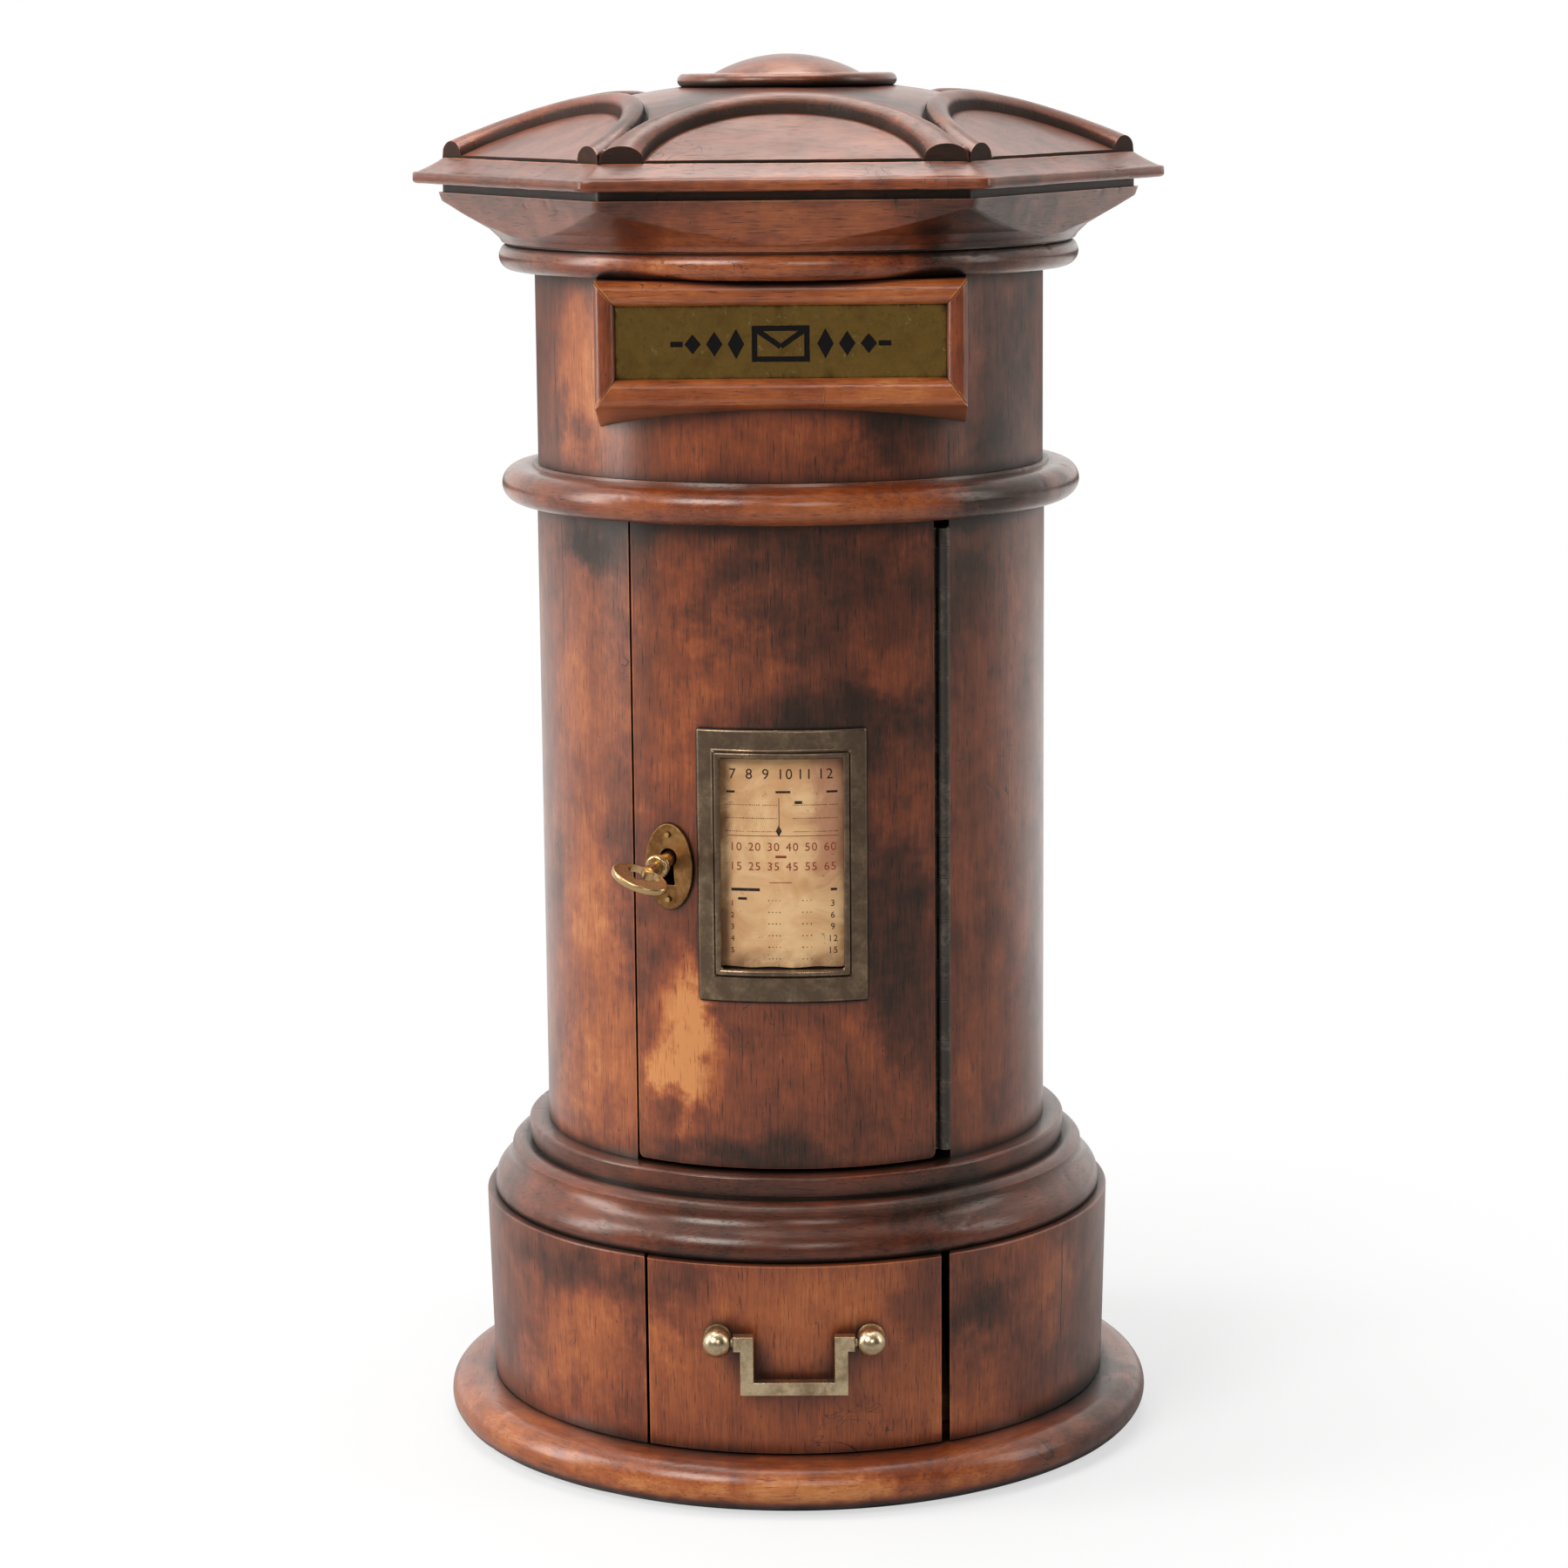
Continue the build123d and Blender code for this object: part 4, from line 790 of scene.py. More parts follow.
# ---------------------------------------------------------------- turned pieces
def arc(centre, radius, start, end, steps):
    """Points of an arc from one angle to another, in degrees."""
    angles = np.radians(np.linspace(start, end, steps + 1))
    return [(centre[0] + radius * math.cos(a), centre[1] + radius * math.sin(a)) for a in angles]


def bezier(first, pull_first, pull_last, last, steps):
    points = []
    for t in np.linspace(0, 1, steps + 1):
        weights = (1 - t) ** 3, 3 * t * (1 - t) ** 2, 3 * t * t * (1 - t), t**3
        ends = first, pull_first, pull_last, last
        points.append(tuple(sum(w * p[axis] for w, p in zip(weights, ends)) for axis in (0, 1)))
    return points


def arc_through(first, last, bulge, steps):
    """Arc between two points whose middle stands off their chord by bulge, to the right of the way."""
    (x0, y0), (x1, y1) = first, last
    points = []
    for t in np.linspace(0, 1, steps + 1):
        lift = 4 * bulge * t * (1 - t)
        length = math.hypot(x1 - x0, y1 - y0)
        normal = (y1 - y0) / length, (x0 - x1) / length
        points.append((x0 + (x1 - x0) * t + normal[0] * lift, y0 + (y1 - y0) * t + normal[1] * lift))
    return points


def spaced(outline, step):
    """The outline with its long straight runs divided."""
    points = []
    for (x0, y0), (x1, y1) in zip(outline, outline[1:]):
        runs = max(1, round(math.hypot(x1 - x0, y1 - y0) / step))
        points += [(x0 + (x1 - x0) * i / runs, y0 + (y1 - y0) * i / runs) for i in range(runs)]
    return points + outline[-1:]


def new_group(name, inputs, result):
    """An empty geometry tree, as its graph, and its given inputs."""
    tree = bpy.data.node_groups.new(name, "GeometryNodeTree")
    for label, kind in inputs:
        tree.interface.new_socket(label, in_out="INPUT", socket_type="NodeSocket" + kind)
    tree.interface.new_socket(result, in_out="OUTPUT", socket_type="NodeSocketGeometry")
    graph = Graph(tree)
    given = graph.node("NodeGroupInput").socket.node.outputs
    return graph, [Flow(graph, given[index]) for index in range(len(inputs))]


def close_group(graph, shape, finish):
    """Ends a geometry tree in plain geometry with its material."""
    real = graph.node("GeometryNodeRealizeInstances", None, {"Geometry": shape})
    finished = graph.node("GeometryNodeSetMaterial", None, {"Geometry": real, "Material": finish})
    graph.node("NodeGroupOutput", None, {0: finished})
    return graph.tree


def turning_tree():
    """Geometry tree that turns a closed outline about the axis, as a lathe does."""
    inputs = (("Outline", "Geometry"), ("Segments", "Int"), ("Finish", "Material"))
    graph, (shape, segments, finish) = new_group("turning", inputs, "Turned")
    circle = graph.node("GeometryNodeCurvePrimitiveCircle", None, {"Resolution": segments, "Radius": 1.0})
    upright = graph.node("GeometryNodeSetCurveNormal", {"mode": "Z_UP"}, {"Curve": circle})
    outline = graph.node("GeometryNodeMeshToCurve", None, {"Mesh": shape})
    turned = graph.node("GeometryNodeCurveToMesh", None, {"Curve": upright, "Profile Curve": outline})
    return close_group(graph, turned, finish)


def set_inputs(modifier, **values):
    """Sets a geometry modifier's inputs by their sockets' identifiers."""
    for item in modifier.node_group.interface.items_tree:
        key = item.name.replace(" ", "_").lower()
        if item.in_out == "INPUT" and key in values:
            modifier[item.identifier] = values[key]


TURNING = turning_tree()


def turned(name, outline, segments, material, node, sharp=40, dents=0, seed=1, waver=0.05):
    """A turned piece: the outline's points are radii and heights in millimetres.

    The outline lies on its side about a circle of one metre's radius, so its radii are less by that metre.
    """
    corners = [((radius - 1 / MM) * MM, -height * MM, 0.0) for radius, height in outline]
    edges = [(i, (i + 1) % len(corners)) for i in range(len(corners))]
    piece = link(name, mesh_of(name, corners, edges=edges))
    modifier = piece.modifiers.new("turning", "NODES")
    modifier.node_group = TURNING
    set_inputs(modifier, segments=segments, finish=material)
    piece = baked(piece)
    face_outwards(piece.data)
    weather(piece.data, dents, seed, waver)
    smooth_by_angle(piece.data, sharp)
    return mount_for(piece, material, node)


def face_outwards(mesh):
    """Closes the poles and turns every face outwards."""
    shape = bmesh.new()
    shape.from_mesh(mesh)
    bmesh.ops.remove_doubles(shape, verts=shape.verts, dist=1e-6)
    bmesh.ops.dissolve_degenerate(shape, edges=shape.edges, dist=1e-7)
    bmesh.ops.recalc_face_normals(shape, faces=shape.faces)
    shape.to_mesh(mesh)
    shape.free()


def weather(mesh, dents, seed, waver):
    """Moves the surface by hand-turned waviness and small dents, in millimetres."""
    random = np.random.default_rng(seed)
    count = len(mesh.vertices)
    points = np.empty(count * 3)
    mesh.vertices.foreach_get("co", points)
    points = points.reshape(-1, 3) / MM
    normals = np.empty(count * 3)
    mesh.vertices.foreach_get("normal", normals)
    normals = normals.reshape(-1, 3)
    shift = np.zeros(count)
    for size in WAVE_LENGTHS:
        direction = random.normal(size=(3, 3)) / size * WAVE_PACE
        waves = np.sin(points @ direction.T + random.uniform(0, math.tau, 3))
        shift += waver * waves.mean(axis=1) * (size / WAVE_LENGTHS[0]) ** 0.4
    outside = np.hypot(points[:, 0], points[:, 1]) > DENTED_BEYOND
    candidates = np.flatnonzero(outside)
    for _ in range(dents if len(candidates) else 0):
        centre = points[random.choice(candidates)]
        size = random.uniform(*DENT_SIZES)
        depth = random.uniform(*DENT_DEPTHS)
        away = np.linalg.norm(points - centre, axis=1) / size
        shift -= depth * np.exp(-(away**2))
    points += normals * shift[:, None]
    mesh.vertices.foreach_set("co", (points * MM).ravel())
    mesh.update()


def limits(node):
    """Lowest and highest point of a CAD node, in millimetres."""
    low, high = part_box(node)
    return low / MM, high / MM


def half_round(radius, bottom, top, steps=20):
    """Rounded edge from its underside to its top, and the radius where it starts."""
    half = (top - bottom) / 2
    return arc((radius - half, bottom + half), half, -90, 90, steps)


low, high = limits("felt_pad")
pad_radius = high.x
pad = spaced([(0, low.z), (pad_radius - FELT_FLAT, low.z)], 4)[:-1]
pad += arc((pad_radius - FELT_EDGE, (low.z + high.z) / 2), FELT_EDGE, -80, 80, 6) + [(0, high.z)]
felt_disc = turned("felt_disc", pad, PAD_FACETS, felt, "felt_pad", waver=0.0)

low, high = limits("base_foot")
outline = spaced([(0, low.z), (FOOT_CORE, low.z)], 6)[:-1]
outline += half_round(high.x, low.z, high.z, 30) + [(FOOT_SEAT, high.z), (0, high.z)]
turned("foot_turned", outline, FOOT_FACETS, wood_foot, "base_foot", dents=60, seed=3, waver=0.07)

low, high = limits("base_moulding")
neck = low.z + MOULDING_NECK_RISE
quirk = neck + QUIRK_RISE
cove = quirk + LEDGE_COVE
shoulder = high.z - FLOOR_THICKNESS
outline = [(LEDGE_RADIUS - LEDGE_COVE, cove), (LEDGE_RADIUS - LEDGE_COVE, quirk)]
outline += arc_through((LEDGE_RADIUS + QUIRK_LIP, quirk), (MOULDING_NECK, neck), QUIRK_BULGE, 8)[:-1]
outline += bezier(
    (MOULDING_NECK, neck),
    (MOULDING_NECK, neck - MOULDING_NECK_PULL),
    (MOULDING_RADIUS, low.z + MOULDING_SWELL),
    (MOULDING_RADIUS, low.z + MOULDING_SIDE),
    26,
)
outline += [(MOULDING_RADIUS, low.z + MOULDING_FOOT), (MOULDING_RADIUS - MOULDING_FOOT_INSET, low.z)]
outline += [(MOULDING_BORE, low.z), (MOULDING_BORE, shoulder)]
outline += [(FLOOR_RADIUS, shoulder), (FLOOR_RADIUS, high.z)]
outline += arc((LEDGE_RADIUS - LEDGE_ROUND, high.z - LEDGE_ROUND), LEDGE_ROUND, 85, -10, 8)
outline += [(LEDGE_RADIUS - LEDGE_UNDERCUT, cove + LEDGE_LIFT)]
turned("moulding_turned", outline, RING_FACETS, wood_moulding, "base_moulding", dents=30, seed=5, waver=0.035)

low, high = limits("waist_ring")
ring_top = high.z - WAIST_FILLET_HEIGHT
outline = half_round(high.x, low.z, ring_top, 30) + [(WAIST_FILLET_RADIUS, ring_top)]
outline += [(WAIST_FILLET_RADIUS - WAIST_FILLET_DRAFT, high.z), (DRUM_RADIUS, high.z)]
outline += [(DRUM_RADIUS, ring_top), (BODY_BORE, ring_top), (BODY_BORE, low.z)]
turned("waist_turned", outline, RING_FACETS, wood_ring, "waist_ring", dents=34, seed=8, waver=0.045)

low, high = limits("neck_bead")
half = (high.z - low.z) / 2
stop = math.degrees(math.acos((BEAD_TOP_RADIUS - (high.x - half)) / half))
outline = arc((high.x - half, low.z + half), half, -90, stop, 24)
outline += [(BEAD_TOP_RADIUS, high.z), (BODY_BORE, high.z), (BODY_BORE, low.z)]
turned("bead_turned", outline, RING_FACETS, wood_ring, "neck_bead", dents=22, seed=11, waver=0.07)

low, high = limits("boss_disc")
outline = [(SPIGOT_HOLE, low.z)] + half_round(high.x, low.z, high.z, 18)
outline += [(BOSS_FACE, high.z), (SPIGOT_HOLE, high.z)]
turned("boss_turned", outline, BOSS_FACETS, wood_crown, "boss_disc", waver=0.05)

low, high = limits("crown_cap")
crown_base = limits("boss_disc")[1].z
rise = high.z - crown_base
sphere = (high.x**2 + rise**2) / (2 * rise)
edge_angle = math.degrees(math.asin(high.x / sphere))
outline = arc((0, high.z - sphere), sphere, 90 - edge_angle, 90, 34)
outline += [(0, low.z), (SPIGOT_RADIUS, low.z), (SPIGOT_RADIUS, crown_base)]
turned("crown_turned", outline, CROWN_FACETS, wood_crown, "crown_cap", waver=0.04)


# ---------------------------------------------------------------- hexagonal head
HEAD_ANGLES = np.linspace(0, math.tau, HEAD_FACETS + 1)[:-1]
FROM_SIDE = (HEAD_ANGLES + math.pi / 6) % (math.pi / 3) - math.pi / 6


def softer_min(first, second, width):
    """The lesser of two values, with a soft passage between them."""
    share = np.clip(0.5 + 0.5 * (second - first) / width, 0.0, 1.0)
    return second + (first - second) * share - width * share * (1 - share)


def ring_mesh(name, radii, heights):
    """Closed ring from a grid of radii: one row for each outline point, one column for each head angle."""
    rows, columns = radii.shape
    x = radii * np.sin(HEAD_ANGLES)
    y = -radii * np.cos(HEAD_ANGLES)
    points = np.stack([x, y, np.broadcast_to(heights[:, None], radii.shape)], axis=-1).reshape(-1, 3) * MM
    index = np.arange(rows * columns).reshape(rows, columns)
    below = np.roll(index, -1, axis=0)
    right = np.roll(index, -1, axis=1)
    corner = np.roll(below, -1, axis=1)
    faces = np.stack([index, right, corner, below], axis=-1).reshape(-1, 4)
    mesh = mesh_of(name, points.tolist(), faces.tolist())
    face_outwards(mesh)
    return mesh


def hexagon_radius(apothem, corner_round):
    """Radius of a hexagon with slightly rounded corners, at each head angle."""
    sharp = apothem / np.cos(FROM_SIDE)
    limit = np.full_like(sharp, apothem / math.cos(math.pi / 6) - corner_round)
    return softer_min(sharp, limit, CORNER_SOFTNESS * corner_round)


def make_cornice():
    """A turned flare cut off by the sides of a hexagon, with a plain neck above."""
    low, high = limits("cornice")
    levels = np.linspace(0, CORNICE_HEIGHT, CORNICE_LEVELS)
    flare_radii, flare_rises = zip(*CORNICE_FLARE)
    rows, heights = [], []
    for level, radius in zip(levels, np.interp(levels, flare_rises, flare_radii)):
        apothem = CORNICE_BOTTOM_APOTHEM + (CORNICE_APOTHEM - CORNICE_BOTTOM_APOTHEM) * level / CORNICE_HEIGHT
        side = hexagon_radius(apothem, CORNICE_CORNER)
        rows.append(softer_min(side, np.full_like(side, radius), CORNICE_MEETING))
        heights.append(low.z + level)
    for level in (0.0, high.z - low.z - CORNICE_HEIGHT):
        rows.append(hexagon_radius(CORNICE_NECK_APOTHEM, CORNICE_CORNER))
        heights.append(low.z + CORNICE_HEIGHT + level)
    for level in (high.z, low.z):
        rows.append(np.full_like(HEAD_ANGLES, BODY_BORE))
        heights.append(level)
    mesh = ring_mesh("cornice_carved", np.array(rows), np.array(heights))
    weather(mesh, 30, 14, 0.06)
    smooth_by_angle(mesh, 38)
    mount_for(link("cornice_carved", mesh), wood_head, "cornice")


def make_eave():
    """A hexagonal plate with a rounded edge and a slope that rises to the roof's foot."""
    low, high = limits("eave_plate")
    lower, upper = EAVE_LOWER_ROUND, EAVE_UPPER_ROUND
    outline = [(EAVE_BORE, low.z), (EAVE_APOTHEM - lower, low.z)]
    outline += arc((EAVE_APOTHEM - lower, low.z + lower), lower, -80, 0, 5)
    outline += arc((EAVE_APOTHEM - upper, low.z + EAVE_EDGE - EAVE_UPPER_DROP), upper, 10, 70, 5)
    slope_start = EAVE_APOTHEM - EAVE_SLOPE_INSET, low.z + EAVE_EDGE + EAVE_SLOPE_LIFT
    slope_end = ROOF_APOTHEM + EAVE_ROOF_LAP, high.z + EAVE_FILLET
    outline += arc_through(slope_start, slope_end, EAVE_HOLLOW, 6)
    outline += [(ROOF_APOTHEM + EAVE_REBATE, high.z), (EAVE_BORE, high.z)]
    rows = [hexagon_radius(apothem, EAVE_CORNER) for apothem, _ in outline]
    heights = np.array([height for _, height in outline])
    mesh = ring_mesh("eave_moulded", np.array(rows), heights)
    weather(mesh, 36, 17, 0.09)
    smooth_by_angle(mesh, 40)
    mount_for(link("eave_moulded", mesh), wood_head, "eave_plate")


def rib_inner(back, across):
    """Inner radius of a rib, which is slender at its crown and broad at its feet."""
    share = np.minimum(np.arctan2(np.abs(across), back) / math.radians(RIB_SWEEP), 1.0)
    return RIB_INNER_CROWN + (RIB_INNER_FOOT - RIB_INNER_CROWN) * share**2


def side_directions(side):
    """Outward and sideways direction of one side of the hexagon, seen from above."""
    angle = side * math.pi / 3
    return np.array([math.sin(angle), -math.cos(angle)]), np.array([math.cos(angle), math.sin(angle)])


def roof_height(x, y, eave_top):
    """Height of the carved roof over each point: a dome, six arched ribs and the sunk field inside each."""
    centre = eave_top + DOME_HEIGHT - DOME_RADIUS
    surface = centre + np.sqrt(DOME_RADIUS**2 - x * x - y * y)
    pitch = math.radians(RIB_PITCH)
    top = RIB_CENTRE - RIB_RING * math.cos(pitch)
    flatness = 2 * DOME_RADIUS
    ring_level = eave_top + DOME_HEIGHT - top**2 / flatness - (RIB_CENTRE - top) * math.tan(pitch)
    sunk = []
    for side in range(6):
        outward, sideways = side_directions(side)
        out = x * outward[0] + y * outward[1]
        across = x * sideways[0] + y * sideways[1]
        plane = ring_level + (RIB_CENTRE - out) * math.tan(pitch)
        back = (RIB_CENTRE - out) / math.cos(pitch)
        distance = np.hypot(back, across)
        inner = rib_inner(back, across)
        half_width = (RIB_OUTER - inner) / 2
        share = np.minimum(np.abs(distance - inner - half_width) / half_width, 1.0)
        profile = RIB_HEIGHT * np.power(1 - share**RIB_SQUARENESS, RIB_ROUNDNESS)
        rib = np.where(share < 1.0, plane + profile / math.cos(pitch), surface)
        surface = np.maximum(surface, rib)
        groove = (distance - RIB_OUTER - OUTER_GROOVE_OFFSET) / OUTER_GROOVE_WIDTH
        surface = surface - GROOVE_DEPTH * np.exp(-(groove**2))
        floor = eave_top + ROOF_EDGE + (ROOF_APOTHEM - out) * math.tan(math.radians(LUNETTE_PITCH))
        sunk.append((distance - inner, floor))
    for distance, floor in sunk:
        inside = distance < FIELD_MARGIN
        surface = np.where(inside, np.minimum(surface, floor), surface)
        surface = surface - GROOVE_DEPTH * np.exp(-((distance / INNER_GROOVE_WIDTH) ** 2)) * inside
    return surface


def drawn_to_ribs(plan):
    """Moves the net's nearest points onto the feet of the ribs, so that their edges run true."""
    squeeze = math.cos(math.radians(RIB_PITCH))
    for side in range(6):
        outward, sideways = side_directions(side)
        for edge in (0.0, RIB_WALL, None):
            back = (RIB_CENTRE - plan @ outward) / squeeze
            across = plan @ sideways
            distance = np.hypot(back, across)
            target = RIB_OUTER if edge is None else rib_inner(back, across) + edge
            slope = (np.outer(across, sideways) - np.outer(back / squeeze, outward)) / distance[:, None]
            move = slope * ((target - distance) / (slope**2).sum(axis=1))[:, None]
            near = (np.abs(distance - target) < NET_REACH) & (plan @ outward < ROOF_APOTHEM - NET_MARGIN)
            plan = plan + move * near[:, None]
    return plan


def hexagonal_net(corner, steps):
    """Points, triangles and rim of a hexagonal net, with its corners at a radius."""
    turns = [math.radians(30 + 60 * k) for k in range(6)]
    directions = [(math.sin(turn), -math.cos(turn)) for turn in turns]
    known, points, faces, rim = {}, [], [], []

    def point_at(x, y):
        key = round(x * 1e4), round(y * 1e4)
        if key not in known:
            known[key] = len(points)
            points.append((x, y))
        return known[key]

    for k in range(6):
        ax, ay = directions[k]
        bx, by = directions[(k + 1) % 6]
        net = []
        for i in range(steps + 1):
            first = i / steps * corner
            row = []
            for j in range(i + 1):
                share = j / i if i else 0.0
                row.append(point_at(first * (ax + (bx - ax) * share), first * (ay + (by - ay) * share)))
            net.append(row)
        for i in range(steps):
            for j in range(i + 1):
                faces.append((net[i][j], net[i + 1][j], net[i + 1][j + 1]))
                if j < i:
                    faces.append((net[i][j], net[i + 1][j + 1], net[i][j + 1]))
        rim += net[steps][:-1]
    return np.array(points), faces, rim


def make_roof():
    """Triangles on a hexagonal net, lifted to the roof's height, with upright edges and a flat underside."""
    eave_top = limits("roof")[0].z
    plan, faces, rim = hexagonal_net(ROOF_APOTHEM / math.cos(math.pi / 6), ROOF_STEPS)
    plan = drawn_to_ribs(plan)
    height = roof_height(plan[:, 0], plan[:, 1], eave_top)
    under_boss = np.hypot(plan[:, 0], plan[:, 1]) < BOSS_SEAT
    height = np.where(under_boss, np.minimum(height, limits("boss_disc")[0].z), height)
    top = np.column_stack([plan, height])
    bottom = np.column_stack([plan[rim], np.full(len(rim), eave_top)])
    base = len(plan)
    count = len(rim)
    for i in range(count):
        following = (i + 1) % count
        faces.append((rim[i], base + i, base + following))
        faces.append((rim[i], base + following, rim[following]))
    faces.append(tuple(base + i for i in reversed(range(count))))
    mesh = mesh_of("roof_carved", (np.vstack([top, bottom]) * MM).tolist(), faces)
    face_outwards(mesh)
    weather(mesh, 0, 21, 0.09)
    smooth_by_angle(mesh, 40)
    mount_for(link("roof_carved", mesh), wood_roof, "roof")


make_cornice()
make_eave()
make_roof()

# ---------------------------------------------------------------- pieces that keep the CAD's shape
dressed("plinth_drum", wood_plinth, 0.5, 3)
dressed("lower_column", wood_body, 0.4, 3)
dressed("upper_drum", wood_body, 0.3)
dressed("door_panel", wood_body, 0.55, 3)
dressed("drawer_front", wood_drawer, 0.5, 3)
for side, material in (
    ("top", wood_slot), ("bottom", wood_slot), ("left", wood_slot_side), ("right", wood_slot_side),
):
    dressed("slot_frame_" + side, material, 0.14, 2, 44)
for node in ("compartment_floor", "door_stop"):
    dressed(node, wood_inside, 0.3)
for node in ("drawer_guides", "drawer_side_left", "drawer_side_right", "drawer_back", "drawer_bottom"):
    dressed(node, secondary_wood, 0.4)
dressed("card_frame", bronzed_brass, 0.95, 6, 40, free=True)
dressed("card_frame_pins", bronzed_brass, 0)
dressed("escutcheon", escutcheon_brass, 0.12)
dressed("key", key_brass, 0.12, 2, 40)
dressed("bail", pull_brass, 0.1, 2, 40)
dressed("handle_posts", pull_brass, 0.15, 2, 40)
dressed("handle_nuts", pull_brass, 0.15)
dressed("flap_rod", escutcheon_brass, 0.1)
dressed("strike_plate", escutcheon_brass, 0.1)
for node in ("hinge_leaf_case", "hinge_leaf_door"):
    dressed(node, hinge_bronze, 0.12, 2, 40)
dressed("hinge_pin", hinge_bronze, 0.1)
for node in ("lock_case", "lock_bolt"):
    dressed(node, lock_steel, 0.12)


# ---------------------------------------------------------------- screws and pins
def seats(node):
    """Head centre and outward direction of each fastener in a CAD node."""
    shape = bmesh.new()
    shape.from_mesh(NODES[node].data)
    bmesh.ops.remove_doubles(shape, verts=shape.verts, dist=2e-6)
    waiting = set(shape.verts)
    found = []
    while waiting:
        island = [waiting.pop()]
        for vertex in island:
            for edge in vertex.link_edges:
                other = edge.other_vert(vertex)
                if other in waiting:
                    waiting.remove(other)
                    island.append(other)
        points = np.array([v.co[:] for v in island])
        centre = points.mean(axis=0)
        axis = np.linalg.svd(points - centre, full_matrices=False)[2][0]
        reach = (points - centre) @ axis
        spread = np.linalg.norm(points - centre - np.outer(reach, axis), axis=1)
        if reach[spread.argmax()] < 0:
            axis, reach = -axis, -reach
        found.append((centre + axis * reach.max(), axis))
    shape.free()
    return sorted(found, key=lambda seat: tuple(np.round(seat[0], 5)))


def seat_mesh(name, places):
    """Points that carry the direction of each fastener."""
    mesh = mesh_of(name, [tuple(point) for point, _ in places])
    facing = mesh.attributes.new("facing", "FLOAT_VECTOR", "POINT")
    facing.data.foreach_set("vector", np.array([axis for _, axis in places], np.float32).ravel())
    return mesh


def fastener_tree(name, sizes, make_one):
    """Geometry tree that sets one fastener on every point, along its facing direction."""
    inputs = [("Seats", "Geometry")] + [(size, "Float") for size in sizes] + [("Finish", "Material")]
    graph, (seated, *measures, finish) = new_group(name, inputs, "Fasteners")
    one = make_one(graph, *measures)
    facing = graph.node("GeometryNodeInputNamedAttribute", {"data_type": "FLOAT_VECTOR"}, {"Name": "facing"})
    turn = graph.node("FunctionNodeAlignRotationToVector", {"axis": "Z"}, {"Vector": facing})
    sockets = {"Points": seated, "Instance": one, "Rotation": turn}
    placed = graph.node("GeometryNodeInstanceOnPoints", None, sockets)
    spin = graph.node("FunctionNodeRandomValue", {"data_type": "FLOAT"}, {2: 0.0, 3: math.pi, "Seed": 7}, 1)
    sockets = {"Instances": placed, "Rotation": graph.combined(0.0, 0.0, spin)}
    return close_group(graph, graph.node("GeometryNodeRotateInstances", None, sockets), finish)


def lowered(graph, shape, depth):
    """The shape moved down by a depth."""
    down = graph.combined(0.0, 0.0, 0 - depth)
    return graph.node("GeometryNodeTransform", None, {"Geometry": shape, "Translation": down})


def slotted_screw(graph, head, shank, length, slot):
    """Countersunk head with a sawn slot, face at zero, shank downwards."""
    depth = head - shank
    sockets = {"Vertices": 32, "Radius Top": head, "Radius Bottom": shank, "Depth": depth}
    cone = lowered(graph, graph.node("GeometryNodeMeshCone", None, sockets), depth)
    saw = graph.node("GeometryNodeMeshCube", None, {"Size": graph.combined(head * 3.0, slot, slot * 2.0)})
    cut = graph.node("GeometryNodeMeshBoolean", {"operation": "DIFFERENCE"}, {0: cone, 1: saw})
    rod = graph.node("GeometryNodeMeshCylinder", None, {"Vertices": 20, "Radius": shank, "Depth": length})
    return joined(graph, cut, lowered(graph, rod, length / 2 + depth))


def round_pin(graph, head, rise, shank, length):
    """Domed head on zero, shank downwards."""
    ball = graph.node("GeometryNodeMeshUVSphere", None, {"Segments": 32, "Rings": 18, "Radius": head})
    flat = graph.combined(1.0, 1.0, rise / head)
    ball = graph.node("GeometryNodeTransform", None, {"Geometry": ball, "Scale": flat})
    rod = graph.node("GeometryNodeMeshCylinder", None, {"Vertices": 16, "Radius": shank, "Depth": length})
    return joined(graph, ball, lowered(graph, rod, length / 2 + rise / 2))


def joined(graph, *pieces):
    made = graph.node("GeometryNodeJoinGeometry")
    for piece in pieces:
        graph.tree.links.new(piece.socket, made.socket.node.inputs[0])
    return made


SCREWS = fastener_tree("slotted_screws", ("Head", "Shank", "Length", "Slot"), slotted_screw)
PINS = fastener_tree("round_pins", ("Head", "Rise", "Shank", "Length"), round_pin)


def fasteners(name, node, tree, material, setback=0.0, **sizes):
    places = [(point - axis * setback * MM, axis) for point, axis in seats(node)]
    piece = link(name, seat_mesh(name, places))
    modifier = piece.modifiers.new("fasteners", "NODES")
    modifier.node_group = tree
    set_inputs(modifier, finish=material, **{key: value * MM for key, value in sizes.items()})
    piece = baked(piece)
    smooth_by_angle(piece.data, 35)
    return mount_for(piece, material, node)


for part in ("case", "door"):
    fasteners(
        "screws_hinge_" + part, "hinge_screws_" + part, SCREWS, hinge_bronze,
        head=1.9, shank=1.0, length=6.0, slot=0.45,
    )
fasteners("screws_lock", "lock_screws", SCREWS, lock_steel, head=1.9, shank=1.0, length=4.0, slot=0.45)
fasteners(
    "pins_escutcheon", "escutcheon_pins", PINS, pin_brass, 1.1,
    head=1.4, rise=1.1, shank=0.8, length=4.4,
)


